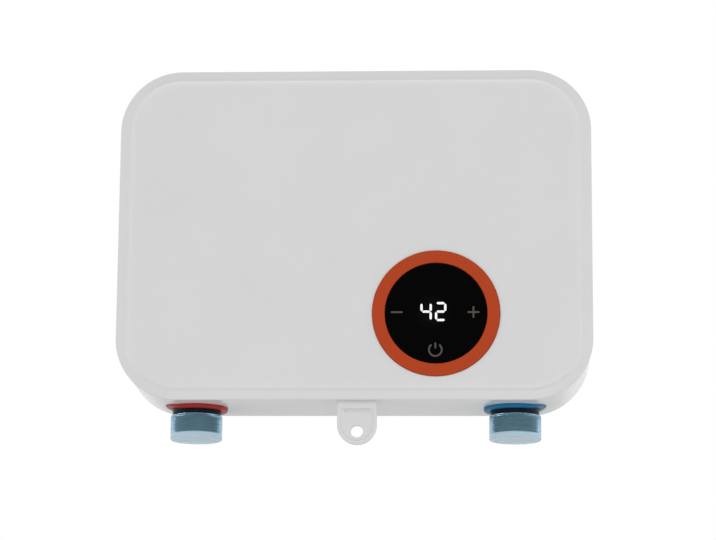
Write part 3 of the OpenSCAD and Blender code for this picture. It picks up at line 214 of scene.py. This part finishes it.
def moulded(name, color, roughness, size=0.8, depth=0.004, **sockets):
    """Moulded plastic: grain of a size and a depth in mm, and a gloss and a colour that wander a little.

    Gloss and colour wander between the given ones times the low and the high end of their spreads.
    """
    material = shader(name, color, roughness, **sockets)
    vary(material, "Roughness", mottle(material, GLOSS_PATCH), *(roughness * s for s in GLOSS_SPREAD))
    darker, lighter = (tuple(min(1, c * s) for c in color) for s in SHADE_SPREAD)
    vary(material, "Base Color", mottle(material, SHADE_PATCH), darker, lighter)
    grain(material, mottle(material, size), depth)
    return material


CORNER_STEPS, LONG_STEPS, SHORT_STEPS = 20, 72, 44


def casing_path():
    """Centres and outward directions of points round the casing, starting at the right side's top.

    The casing's outline at an inset is the centre plus the corner radius less the inset, times the
    direction. At a corner the centre stays and the direction turns a quarter; along a side the
    direction stays.
    """
    half = np.array([CASING_W / 2 - CORNER_R, CASING_H / 2 - CORNER_R])
    signs = [(1, 1), (-1, 1), (-1, -1), (1, -1)]
    centres, outward = [], []
    for i, sign in enumerate(signs):
        corner, following = half * sign, half * signs[(i + 1) % 4]
        angle = np.linspace(0, math.pi / 2, CORNER_STEPS + 1) + i * math.pi / 2
        outward.append(np.stack([np.cos(angle), np.sin(angle)], 1))
        centres.append(np.repeat(corner[None], CORNER_STEPS + 1, 0))
        steps = LONG_STEPS if i % 2 == 0 else SHORT_STEPS
        t = np.linspace(0, 1, steps + 1)[1:-1, None]
        centres.append(corner + t * (following - corner))
        outward.append(np.repeat(outward[-1][-1:], steps - 1, 0))
    return np.concatenate(centres), np.concatenate(outward)


PATH_CENTRE, PATH_OUT = casing_path()


def at_depth(flat, depth):
    """Points (x, z) put at a depth from the wall, as (x, minus the depth, z)."""
    return np.stack([flat[:, 0], np.full(len(flat), -depth), flat[:, 1]], 1)


DIAL_REACH = 129.7
SPOKE_INSET = 10.0


def cover_loop(u, depth):
    """Loop on the cover at a depth: u mm inside the casing's edge, or a circle round the dial.

    Past half of the dial's reach it is a circle, whose radius is that reach less u. Each of its points
    lies in the direction of the casing's point with the same number, seen from the dial.
    """
    if u < DIAL_REACH / 2:
        return at_depth(PATH_CENTRE + (CORNER_R - u) * PATH_OUT, depth)
    spoke = PATH_CENTRE + (CORNER_R - SPOKE_INSET) * PATH_OUT - DIAL
    spoke /= np.linalg.norm(spoke, axis=1)[:, None]
    return at_depth(DIAL + (DIAL_REACH - u) * spoke, depth)


def full_turn(steps):
    """Angles at even steps round a full turn, without its end."""
    return np.linspace(0, 2 * math.pi, steps, endpoint=False)


def turned(profile, at, steps=96, axis="Z"):
    """Grid of a closed profile (radius, height) turned round an upright axis that stands at (x, y).

    Round a Y axis, which passes at (x, z), the profile is (radius, depth). A point lies at the axis
    plus its radius times the cosine and the sine of the angle.
    """
    angle = full_turn(steps)
    r, h = profile[:, 0, None], np.repeat(profile[:, 1, None], steps, 1)
    x = at[0] + r * np.cos(angle)
    if axis == "Z":
        return np.stack([x, at[1] + r * np.sin(angle), h], -1)
    return np.stack([x, -h, at[1] + r * np.sin(angle)], -1)


POST_ROOT, POST_SOFT, POST_STEPS = INSIDE_DEPTH + 0.5, 0.2, 32


def post(bore, radius, end, at):
    """Grid of a hollow screw post inside the cover, from its end's depth to just within the front."""
    section = [(bore, end), (radius, end, POST_SOFT), (radius, POST_ROOT, POST_SOFT), (bore, POST_ROOT)]
    return turned(outline(section, steps=3), at, POST_STEPS, "Y")


COVER_POST_X, COVER_POST_Z = 97.0, 65.0
COVER_POST_BORE, COVER_POST_R, COVER_POST_END = 1.55, 3.5, 40.0
COVER_POSTS = [(sx * COVER_POST_X, sz * COVER_POST_Z) for sx in (-1, 1) for sz in (-1, 1)]
BOARD_POST_REACH, BOARD_POST_ANGLES = 30.5, np.radians([30, 150, 270])
BOARD_POST_BORE, BOARD_POST_R, BOARD_POST_END = 1.05, 2.2, 43.9
BOARD_POSTS = [(DIAL[0] + BOARD_POST_REACH * math.cos(a), DIAL[1] + BOARD_POST_REACH * math.sin(a))
               for a in BOARD_POST_ANGLES]
HOLE_INSET, SEAT_INSET = 103.6, 100.0
white = moulded("white_abs", (0.68, 0.68, 0.684), 0.2, size=1.4, depth=0.001, Specular_IOR_Level=0.45)
# The section's corners as (inset, depth, round): the dial's hole and seat, the flat front with its
# rounded edge, the sloped band, the seam, and the lip that goes back into the shell.
cover_section = outline([
    (HOLE_INSET, INSIDE_DEPTH, 0.2), (HOLE_INSET, DIAL_SEAT_DEPTH), (SEAT_INSET, DIAL_SEAT_DEPTH, 0.1),
    (SEAT_INSET, FRONT_DEPTH, 0.25), (8.0, FRONT_DEPTH, 38.0), (5.2, 52.1, 1.5), (4.0, 50.95, 0.8),
    (0.0, 49.3, 1.1), (0.0, SEAM_DEPTH, 0.15), (3.1, SEAM_DEPTH), (3.1, LIP_DEPTH, 0.3),
    (4.5, LIP_DEPTH, 0.3), (4.5, INSIDE_DEPTH, 1.0)], steps=8)
cover_grids = [np.stack([cover_loop(u, d) for u, d in cover_section])]
cover_grids += [post(COVER_POST_BORE, COVER_POST_R, COVER_POST_END, at) for at in COVER_POSTS]
cover_grids += [post(BOARD_POST_BORE, BOARD_POST_R, BOARD_POST_END, at) for at in BOARD_POSTS]
cover = skin("front_cover_moulding", cover_grids, white)
seat(cover, "casing", "white_plastic", "front_cover")

# Rear shell: a deep tray of the same white ABS, open to the front, with keyholes and a cable hole in
# its back. Its edges are rounded a little, and the one round its back more, as a moulding's are.
SHELL_INSET = 0.4
BACK_ROUND, EDGE_ROUND = 1.6, 0.25
BACK_STEPS, EDGE_STEPS, EDGE_ANGLE = 5, 2, 35
CAD_SAME_POINT, CAD_FLAT_ANGLE = 1e-6, 0.4
ON_LINE, ON_PLANE = 0.05, 0.01


def softened(name, wide, chosen):
    """Copy of a white CAD node as one closed mesh, with every edge rounded.

    The copy's triangles are merged, and flat neighbours become one face. The edges whose middle, as
    (x, depth, z) in mm, is chosen get a round of the given width, and all others the small one.
    """
    bm = bmesh.new()
    bm.from_mesh(nodes[name].data)
    bmesh.ops.remove_doubles(bm, verts=bm.verts, dist=CAD_SAME_POINT)
    bmesh.ops.dissolve_limit(bm, angle_limit=math.radians(CAD_FLAT_ANGLE), verts=bm.verts, edges=bm.edges)
    mesh = bpy.data.meshes.new(name + "_moulding")
    bm.to_mesh(mesh)
    bm.free()
    ends = np.empty(len(mesh.edges) * 2, int)
    mesh.edges.foreach_get("vertices", ends)
    points = np.empty(len(mesh.vertices) * 3)
    mesh.vertices.foreach_get("co", points)
    middle = points.reshape(-1, 3)[ends.reshape(-1, 2)].mean(1) / MM * (1, -1, 1)
    weight = mesh.attributes.new("bevel_weight_edge", "FLOAT", "EDGE")
    weight.data.foreach_set("value", chosen(middle).astype(np.float32))
    for attribute in [a.name for a in mesh.attributes if a.name == "custom_normal"]:
        mesh.attributes.remove(mesh.attributes[attribute])
    mesh.shade_smooth()
    mesh.materials.append(white)
    piece = bpy.data.objects.new(name + "_moulding", mesh)
    bpy.context.scene.collection.objects.link(piece)
    for width, limit, steps in ((wide, "WEIGHT", BACK_STEPS), (EDGE_ROUND, "ANGLE", EDGE_STEPS)):
        rounding = piece.modifiers.new(limit.lower() + "_round", "BEVEL")
        rounding.limit_method = limit
        rounding.angle_limit = math.radians(EDGE_ANGLE)
        rounding.width = width * MM
        rounding.segments = steps
        rounding.use_clamp_overlap = False
    piece.modifiers.new("even_normals", "WEIGHTED_NORMAL")
    seat(piece, "casing", "white_plastic", name)


def on_back_edge(middle):
    """Whether a point lies on the casing's outline in the plane of its back.

    Its inset is the corner radius less the distance to the inner rectangle of the corners' centres.
    """
    past = np.maximum(np.abs(middle[:, [0, 2]]) - (CASING_W / 2 - CORNER_R, CASING_H / 2 - CORNER_R), 0)
    inset = CORNER_R - np.hypot(past[:, 0], past[:, 1])
    return (np.abs(inset - SHELL_INSET) < ON_LINE) & (middle[:, 1] < ON_PLANE)


softened("rear_shell", BACK_ROUND, on_back_edge)

# Lower ear: a plate with a round end on the rear shell's front edge, with a screw hole, a raised rim, a
# groove and two webs behind. It is moulded in white ABS too, and its outline is rounded more.
EAR_AT, EAR_R, EAR_ROUND = (1.8, -90.2), 9.2, 0.5
EAR_BACK, EAR_FRONT = 43.5, 47.0
EAR_TOP = -CASING_H / 2 + 0.2


def on_ear_outline(middle):
    """Whether a point lies on the ear's outline: two upright sides, and half a circle below them.

    Its distance to the upright line that rises from the circle's centre is the circle's radius.
    """
    across = middle[:, 0] - EAR_AT[0]
    along = np.minimum(middle[:, 2] - EAR_AT[1], 0)
    on_face = np.minimum(np.abs(middle[:, 1] - EAR_BACK), np.abs(middle[:, 1] - EAR_FRONT)) < ON_PLANE
    return (np.abs(np.hypot(across, along) - EAR_R) < ON_LINE) & on_face & (middle[:, 2] < EAR_TOP)


softened("lower_ear", EAR_ROUND, on_ear_outline)

# Bezel ring: a flat ring of matt orange ABS with softened edges. Its short sleeve is pressed into the
# cover's hole round the display.
RING_IN, RING_OUT, RING_TOP = 23.8, 29.6, 53.2
SLEEVE_IN, SLEEVE_OUT, SLEEVE_END = 24.9, 26.0, 48.4
orange = moulded("orange_abs", (0.435, 0.049, 0.008), 0.55, size=0.5, depth=0.006,
                 Specular_IOR_Level=0.15)
ring_section = outline([
    (RING_IN, DIAL_SEAT_DEPTH, 0.1), (SLEEVE_IN, DIAL_SEAT_DEPTH), (SLEEVE_IN, SLEEVE_END, 0.2),
    (SLEEVE_OUT, SLEEVE_END, 0.2), (SLEEVE_OUT, DIAL_SEAT_DEPTH), (RING_OUT, DIAL_SEAT_DEPTH, 0.15),
    (RING_OUT, RING_TOP, 0.4), (RING_IN, RING_TOP, 0.5)])
ring = skin("bezel_ring_moulding", [turned(ring_section, DIAL, steps=160, axis="Y")], orange)
seat(ring, "casing", "orange_plastic", "bezel_ring")

# Display disc: smoked black acrylic behind the ring, held by its flange. Signs are printed on it and
# the figures shine through it, with a faint glow round them.
DISC_R, DISC_FLANGE_R = 23.7, 24.8
DISC_BACK, DISC_TOP = 50.2, 52.6
GLOW_AT, GLOW_R, GLOW_STRENGTH = (37.1, -38.2), 10.0, 0.004
disc = shader("black_acrylic", (0.0006, 0.0006, 0.0007), 0.06, Specular_IOR_Level=0.02,
              Emission_Color=(0.8, 0.9, 1.0, 1))
vary(disc, "Roughness", mottle(disc, 14), 0.04, 0.08)
tree = disc.node_tree
place = tree.nodes.new("ShaderNodeTexCoord")
distance = tree.nodes.new("ShaderNodeVectorMath")
distance.operation = "DISTANCE"
distance.inputs[1].default_value = (GLOW_AT[0] * MM, -DISC_TOP * MM, GLOW_AT[1] * MM)
fade = tree.nodes.new("ShaderNodeMapRange")
fade.interpolation_type = "SMOOTHSTEP"
fade.inputs["From Max"].default_value = GLOW_R * MM
fade.inputs["To Min"].default_value = GLOW_STRENGTH
fade.inputs["To Max"].default_value = 0
tree.links.new(place.outputs["Object"], distance.inputs[0])
tree.links.new(distance.outputs["Value"], fade.inputs["Value"])
tree.links.new(fade.outputs["Result"], tree.nodes["Principled BSDF"].inputs["Emission Strength"])
disc_section = outline([
    (0.0, DISC_BACK), (DISC_FLANGE_R, DISC_BACK, 0.1), (DISC_FLANGE_R, DIAL_SEAT_DEPTH, 0.1),
    (DISC_R, DIAL_SEAT_DEPTH), (DISC_R, DISC_TOP, 0.2), (0.0, DISC_TOP)])
lens = skin("display_disc", [turned(disc_section, DIAL, steps=128, axis="Y")], disc)
seat(lens, "casing", "black_disc", "display_lens")

sign_ink = shader("sign_ink", (0.08, 0.064, 0.052), 0.5, Specular_IOR_Level=0.2)
vary(sign_ink, "Base Color", mottle(sign_ink, 0.6), (0.07, 0.056, 0.046), (0.09, 0.072, 0.058))
lit = shader("lit_figures", (0.02, 0.02, 0.02), 0.4, Emission_Color=(1, 1, 1, 1))
vary(lit, "Emission Strength", mottle(lit, 1.5), 0.96, 1.04)


def dress(material, *names):
    """Give CAD nodes a material; each keeps its shape."""
    for name in names:
        nodes[name].data.materials.clear()
        nodes[name].data.materials.append(material)


dress(sign_ink, "key_signs")
dress(lit, "lit_digits")

# Collars: a red and a blue ring of moulded ABS in the casing's lower wall, which mark hot and cold.
# Each follows the wall's curve, reaches in by a short sleeve and thins out where the wall turns up.
PIPE_X, PIPE_DEPTH = 75.0, 23.5
COLLAR_BORE_R, COLLAR_SLEEVE_R, COLLAR_R = 11.5, 13.0, 14.7
COLLAR_H, COLLAR_TOP = 1.8, -76.3
THIN_FROM, THIN_TO, THIN_SHARE = 80.0, 89.7, 0.25


def casing_below(x, inset):
    """Height of the casing's lower outline at x: the straight side, or the corner's arc beyond it."""
    past = np.maximum(np.abs(x) - (CASING_W / 2 - CORNER_R), 0)
    return CORNER_R - CASING_H / 2 - np.sqrt((CORNER_R - inset) ** 2 - past ** 2)


def collar(name, side, material, slot, stands_for):
    """Collar turned round its axis, with its drop below the wall taken off the wall's own height.

    A drop of minus one reaches up to the sleeve's top. Where the wall turns up, the others shrink to
    a quarter by the smooth step, three times the square of the way less twice its cube.
    """
    section = outline([
        (COLLAR_BORE_R, -1.0, 0.15), (COLLAR_BORE_R, COLLAR_H, 0.4), (COLLAR_R, COLLAR_H, 0.9),
        (COLLAR_R, 0.0, 0.05), (COLLAR_SLEEVE_R, 0.0), (COLLAR_SLEEVE_R, -1.0, 0.1)])
    grid = turned(section, (side * PIPE_X, -PIPE_DEPTH), steps=128)
    drop = grid[..., 2]
    wall = casing_below(grid[..., 0], SHELL_INSET)
    way = np.clip((np.abs(grid[..., 0]) - THIN_FROM) / (THIN_TO - THIN_FROM), 0, 1)
    share = 1 - (1 - THIN_SHARE) * way ** 2 * (3 - 2 * way)
    grid[..., 2] = np.where(drop < 0, wall + drop * (wall - COLLAR_TOP), wall - drop * share)
    seat(skin(name, [grid], material), "casing", slot, stands_for)


red = moulded("red_abs", (0.33, 0.021, 0.018), 0.36, size=0.6, Specular_IOR_Level=0.2)
blue = moulded("blue_abs", (0.008, 0.135, 0.285), 0.36, size=0.6, Specular_IOR_Level=0.2)
collar("red_collar", -1, red, "red_plastic", "outlet_collar")
collar("blue_collar", 1, blue, "blue_plastic", "inlet_collar")

# Fittings: glass-filled black nylon, each with a neck, a G1/2 thread, a flange inside the wall and a
# shank that takes the pipe or the flow sensor.
THREAD_R, THREAD_H, THREAD_PITCH = 10.48, 1.16, 1.814
THREAD_LOW, THREAD_HIGH, THREAD_RELIEF = -90.7, -83.6, 0.2
THREAD_ROOT = THREAD_R - THREAD_H
THREAD_STEP, THREAD_FADE = 0.09, 0.7
VALLEY, FLANK = 0.08, 0.24
BORE_R, BORE_START = 6.5, -80.0
FITTING_END, MOUTH_TOP, MOUTH_EDGE = -91.4, -89.4, 0.5
NECK_ROOT_R, NECK_R, NECK_END = 10.18, 11.3, -82.4
FLANGE_R, FLANGE_LOW, FLANGE_HIGH, SHANK_R = 15.5, -76.1, -72.6, 9.0
FLANGE_FROM_R, WALL_INSET = 11.6, 3.2
HOT_SHANK_TOP, COLD_SHANK_TOP = -52.0, -56.2
STRAINER_MOUTH_R = 7.7
FITTING_STEPS, THREAD_SHARP_ANGLE = 120, 40


def fitting(name, side, top, mouth, material, stands_for):
    """Fitting turned round its axis. Between root and crest the radius follows the thread's helix.

    The phase is the height over the pitch, less the angle over a full turn. A ridge rises over about
    a quarter of it, stays level for a third, falls again, and fades out at both ends of the thread.
    The flange stands on the wall's inner face where that turns up.
    """
    z = np.arange(THREAD_LOW - THREAD_RELIEF, THREAD_HIGH + THREAD_RELIEF, THREAD_STEP)
    threaded = np.stack([np.full(len(z), THREAD_ROOT), z], 1)
    if mouth > BORE_R:
        bore_end = [(BORE_R, MOUTH_TOP), (mouth, MOUTH_TOP)]
    else:  # A plain bore has no step, only two more points on its wall.
        bore_end = [(BORE_R, BORE_START - 0.5), (BORE_R, BORE_START - 1.0)]
    below = outline([
        (BORE_R, BORE_START), *bore_end, (mouth, FITTING_END, 0.1),
        (THREAD_ROOT - MOUTH_EDGE, FITTING_END, 0.1), (THREAD_ROOT, FITTING_END + MOUTH_EDGE)], steps=3)
    above = outline([
        (NECK_ROOT_R, THREAD_HIGH + THREAD_RELIEF), (NECK_ROOT_R, NECK_END), (NECK_R, NECK_END, 0.2),
        (NECK_R, FLANGE_LOW), (FLANGE_R, FLANGE_LOW, 0.2), (FLANGE_R, FLANGE_HIGH, 0.4),
        (SHANK_R, FLANGE_HIGH), (SHANK_R, top, 0.3), (BORE_R, top)], steps=4)
    section = np.concatenate([below, threaded, above])
    grid = turned(section, (side * PIPE_X, -PIPE_DEPTH), FITTING_STEPS)
    rows = slice(len(below), len(below) + len(threaded))
    angle = full_turn(FITTING_STEPS)
    height = grid[rows, :, 2]
    phase = (height / THREAD_PITCH - angle / (2 * math.pi)) % 1
    ridge = np.clip((0.5 - np.abs(phase - 0.5) - VALLEY) / FLANK, 0, 1)
    ends = np.clip((height - THREAD_LOW) / THREAD_FADE, 0, 1)
    ends = ends * np.clip((THREAD_HIGH - height) / THREAD_FADE, 0, 1)
    r = THREAD_ROOT + THREAD_H * ridge * ends
    grid[rows, :, 0] = side * PIPE_X + r * np.cos(angle)
    grid[rows, :, 1] = -PIPE_DEPTH + r * np.sin(angle)
    wide = np.hypot(grid[..., 0] - side * PIPE_X, grid[..., 1] + PIPE_DEPTH) > FLANGE_FROM_R
    wall_inside = casing_below(grid[..., 0], WALL_INSET)
    grid[..., 2] = np.where(wide, np.maximum(grid[..., 2], wall_inside), grid[..., 2])
    seat(skin(name, [grid], material, THREAD_SHARP_ANGLE), "casing", "black_nylon", stands_for)


nylon = moulded("black_nylon", (0.003, 0.008, 0.013), 0.38, size=0.35, depth=0.008,
                Specular_IOR_Level=0.12)
fitting("hot_fitting", -1, HOT_SHANK_TOP, BORE_R, nylon, "outlet_fitting")
fitting("cold_fitting", 1, COLD_SHANK_TOP, STRAINER_MOUTH_R, nylon, "inlet_fitting")

# Dust caps: thin cups of see-through pale blue polyethylene, pushed over the threads. Each has a bead
# inside its rim and a shallow dish in its thick end, which looks milky.
CAP_R, CAP_INSIDE_R, BEAD_R, DISH_R = 12.2, 11.15, 10.55, 8.6
CAP_RIM, CAP_FLOOR, DISH_FLOOR, CAP_END = -82.6, -92.5, -93.4, -94.0
MILKY_TO, CLEAR_FROM = -92.0, -90.8
MILKY_BLUE, CLEAR_BLUE = (0.68, 0.84, 0.93), (0.49, 0.78, 0.95)
clear_blue = shader("clear_blue", CLEAR_BLUE, 0.16, IOR=1.38, Specular_Tint=(0.4, 0.8, 1.0, 1.0))
tree = clear_blue.node_tree
place = tree.nodes.new("ShaderNodeTexCoord")
height = tree.nodes.new("ShaderNodeSeparateXYZ")
clearness = tree.nodes.new("ShaderNodeMapRange")
clearness.inputs["From Min"].default_value = MILKY_TO * MM
clearness.inputs["From Max"].default_value = CLEAR_FROM * MM
tree.links.new(place.outputs["Object"], height.inputs[0])
tree.links.new(height.outputs["Z"], clearness.inputs["Value"])
vary(clear_blue, "Transmission Weight", clearness.outputs["Result"], 0.42, 0.88)
vary(clear_blue, "Base Color", clearness.outputs["Result"], MILKY_BLUE, CLEAR_BLUE)
vary(clear_blue, "Roughness", mottle(clear_blue, 5), 0.12, 0.24)
grain(clear_blue, mottle(clear_blue, 1.2), 0.006)
cap_section = outline([
    (0.0, DISH_FLOOR), (DISH_R, DISH_FLOOR, 0.4), (9.3, CAP_END, 0.3), (CAP_R, CAP_END, 0.7),
    (CAP_R, CAP_RIM, 0.3), (10.9, CAP_RIM, 0.2), (BEAD_R, -82.9, 0.1), (BEAD_R, -83.3, 0.1),
    (CAP_INSIDE_R, -83.9, 0.2), (CAP_INSIDE_R, CAP_FLOOR, 0.5), (0.0, CAP_FLOOR)], steps=5)
for side, name in ((-1, "outlet_cap"), (1, "inlet_cap")):
    grid = turned(cap_section, (side * PIPE_X, -PIPE_DEPTH), steps=120)
    seat(skin(name + "_cup", [grid], clear_blue), name, "clear_blue_plastic", name)

# Strainer, flow sensor and turbine: white and ivory nylon mouldings in the cold way in. The turbine
# turns on its own shaft between two spiders, and a small board in front counts its turns.
white_nylon = moulded("white_nylon", (0.72, 0.72, 0.69), 0.42)
ivory = moulded("ivory_nylon", (0.60, 0.55, 0.42), 0.45)
dress(white_nylon, "inlet_strainer", "flow_turbine")
dress(ivory, "flow_sensor_body", "terminal_block", "cable_clamp")

# Pipes, tank and straps: drawn stainless steel and zinc-plated strip. The tank lies across the casing
# on two ribs, and two straps hold it down. Its tube element is oxidised where it has been hot.
steel = shader("stainless_steel", (0.55, 0.54, 0.52), 0.3, Metallic=1.0)
vary(steel, "Roughness", mottle(steel, 0.5, (0.03, 1, 1)), 0.22, 0.38)
grain(steel, mottle(steel, 0.3, (0.03, 1, 1)), 0.003)
zinc = shader("zinc_steel", (0.56, 0.57, 0.58), 0.35, Metallic=1.0)
vary(zinc, "Roughness", mottle(zinc, 2), 0.28, 0.45)
grain(zinc, mottle(zinc, 0.4), 0.004)
element_steel = shader("element_steel", (0.2, 0.19, 0.18), 0.42, Metallic=1.0)
vary(element_steel, "Base Color", mottle(element_steel, 12), (0.16, 0.15, 0.15), (0.26, 0.22, 0.18))
dress(steel, "inlet_pipe", "outlet_pipe", "heating_tank")
dress(zinc, "cover_screws", "display_screws", "tie_rods", "tie_rod_nuts", "tank_straps", "strap_screws",
      "cutout_screws", "board_screws", "terminal_screws", "clamp_screws")
dress(element_steel, "heating_element")

# End caps: dark glass-filled nylon, drawn against the tank's ends by four tie rods. Sensors and the
# element's nuts are turned brass, and the touch springs are bronze wire.
dark_nylon = moulded("dark_nylon", (0.02, 0.02, 0.023), 0.5, size=0.4, depth=0.01)
brass = shader("brass", (0.62, 0.42, 0.16), 0.3, Metallic=1.0)
vary(brass, "Roughness", mottle(brass, 3), 0.22, 0.4)
bronze = shader("spring_bronze", (0.60, 0.36, 0.14), 0.32, Metallic=1.0)
vary(bronze, "Roughness", mottle(bronze, 1.5), 0.25, 0.4)
dress(dark_nylon, "hot_end_cap", "cold_end_cap")
dress(brass, "element_nuts", "temperature_sensors")
dress(bronze, "touch_springs")

# Seals and grommet: moulded black rubber. The seals are pressed into their grooves, and the grommet
# into the cable's hole in the back.
rubber = shader("black_rubber", (0.02, 0.02, 0.02), 0.7)
vary(rubber, "Roughness", mottle(rubber, 2), 0.6, 0.8)
grain(rubber, mottle(rubber, 0.5), 0.01)
dress(rubber, "cover_seal", "pipe_seals", "tank_gaskets", "cable_grommet")

# Thermal cut-out: a black phenolic body on a sawn aluminium saddle, with a red reset button on top
# that is pushed in to close the contacts again.
aluminium = shader("aluminium", (0.6, 0.61, 0.62), 0.4, Metallic=1.0)
vary(aluminium, "Roughness", mottle(aluminium, 0.6, (1, 1, 0.05)), 0.3, 0.5)
black_abs = moulded("black_abs", (0.015, 0.015, 0.016), 0.4)
dress(aluminium, "cutout_saddle", "heat_sink")
dress(black_abs, "thermal_cutout", "relay", "triac")
dress(red, "reset_button")

# Boards: glass-fibre boards under green solder mask, screwed down. The pieces that stand on them are
# grey and yellow mouldings and wound parts under film.
board = shader("green_board", (0.012, 0.09, 0.03), 0.35)
vary(board, "Base Color", mottle(board, 4, detail=1.0), (0.010, 0.075, 0.026), (0.02, 0.125, 0.042))
grain(board, mottle(board, 1.5), 0.01)
grey = moulded("grey_abs", (0.32, 0.32, 0.32), 0.45)
yellow = moulded("yellow_film", (0.6, 0.34, 0.03), 0.4)
dress(board, "display_board", "hall_board", "power_board")
dress(grey, "digit_module", "display_ribbon")
dress(yellow, "transformer", "capacitor")

# Leads: stranded copper under insulation, brown and black for live, blue for neutral, green for earth,
# white to the element and grey to the sensors. Both ends of each are soldered or clamped.
LEADS = {
    "live_lead": (0.07, 0.025, 0.008), "switched_lead": (0.012, 0.012, 0.012),
    "neutral_lead": (0.012, 0.05, 0.32), "earth_lead": (0.20, 0.42, 0.02),
    "element_leads": (0.66, 0.66, 0.63), "sensor_leads": (0.12, 0.12, 0.12)}
for name, color in LEADS.items():
    dress(moulded(name + "_sleeve", color, 0.45, size=2.0, depth=0.01), name)

# Studio: a pale floor far below that is open from beneath, even light from all round, and a background
# that the camera, mirrors and clear plastic see white. Large boxes low at both sides and in front light
# the heater, and narrow strips and small boxes higher up draw the light lines along its front's edge.
FLOOR_Z, FLOOR_SIZE = -1250.0, 40000.0
AMBIENT, SEEN_WHITE = 0.692, 1.0
half = FLOOR_SIZE / 2 * MM
corners = [(sx * half, sy * half, FLOOR_Z * MM) for sx, sy in ((-1, -1), (1, -1), (1, 1), (-1, 1))]
floor_mesh = bpy.data.meshes.new("floor")
floor_mesh.from_pydata(corners, [], [(0, 1, 2, 3)])
floor = bpy.data.objects.new("floor", floor_mesh)
pale = shader("pale_floor", (0.89, 0.89, 0.89), 0.7, Specular_IOR_Level=0.2)
vary(pale, "Roughness", mottle(pale, 200), 0.6, 0.8)
tree = pale.node_tree
facing = tree.nodes.new("ShaderNodeNewGeometry")
nothing = tree.nodes.new("ShaderNodeBsdfTransparent")
open_below = tree.nodes.new("ShaderNodeMixShader")
tree.links.new(facing.outputs["Backfacing"], open_below.inputs[0])
tree.links.new(tree.nodes["Principled BSDF"].outputs[0], open_below.inputs[1])
tree.links.new(nothing.outputs[0], open_below.inputs[2])
tree.links.new(open_below.outputs[0], tree.nodes["Material Output"].inputs["Surface"])
floor_mesh.materials.append(pale)
bpy.context.scene.collection.objects.link(floor)

world = bpy.data.worlds.new("studio")
bpy.context.scene.world = world
world.use_nodes = True
tree = world.node_tree
sky = tree.nodes["Background"]
sky.inputs["Color"].default_value = (1, 1, 1, 1)
rays = tree.nodes.new("ShaderNodeLightPath")
sees_white = rays.outputs["Is Camera Ray"]
for ray in ("Is Glossy Ray", "Is Transmission Ray"):
    either = tree.nodes.new("ShaderNodeMath")
    either.operation = "MAXIMUM"
    tree.links.new(sees_white, either.inputs[0])
    tree.links.new(rays.outputs[ray], either.inputs[1])
    sees_white = either.outputs["Value"]
level = tree.nodes.new("ShaderNodeMapRange")
level.inputs["To Min"].default_value = AMBIENT
level.inputs["To Max"].default_value = SEEN_WHITE
tree.links.new(sees_white, level.inputs["Value"])
tree.links.new(level.outputs["Result"], sky.inputs["Strength"])

LAMPS_AIM = (0.0, -45.0, 0.0)


def lamp(name, at, width, height, power):
    """Soft lamp, width by height in mm, that shines from a point at the middle of the heater.

    Its width lies level, at right angles to the beam, and its height at right angles to both.
    """
    data = bpy.data.lights.new(name, "AREA")
    data.shape = "RECTANGLE"
    data.size, data.size_y = width * MM, height * MM
    data.energy = power
    beam = np.array(LAMPS_AIM) - at
    across = np.cross(beam, (0, 0, 1))
    upright = np.cross(across, beam)
    axes = [v / np.linalg.norm(v) for v in (across, upright, -beam)]
    holder = bpy.data.objects.new(name, data)
    holder.matrix_world = Matrix.Translation([v * MM for v in at]) @ Matrix(axes).transposed().to_4x4()
    bpy.context.scene.collection.objects.link(holder)


lamp("left_box", (-2100, -420, -850), 1800, 1600, 8.4)
lamp("right_box", (2100, -420, -850), 1800, 1600, 8.1)
lamp("low_box", (200, -1980, -700), 1200, 1200, 5.5)
lamp("top_strip", (0, -1680, 1020), 1400, 120, 3.3)
lamp("left_strip", (-760, -1790, 700), 100, 900, 0.9)
lamp("left_edge_box", (-2090, -230, 640), 600, 400, 0.5)
lamp("right_strip", (600, -1850, 700), 100, 900, 0.9)
lamp("right_edge_box", (2070, -415, 640), 600, 400, 0.5)
bpy.context.scene.view_settings.view_transform = "Standard"
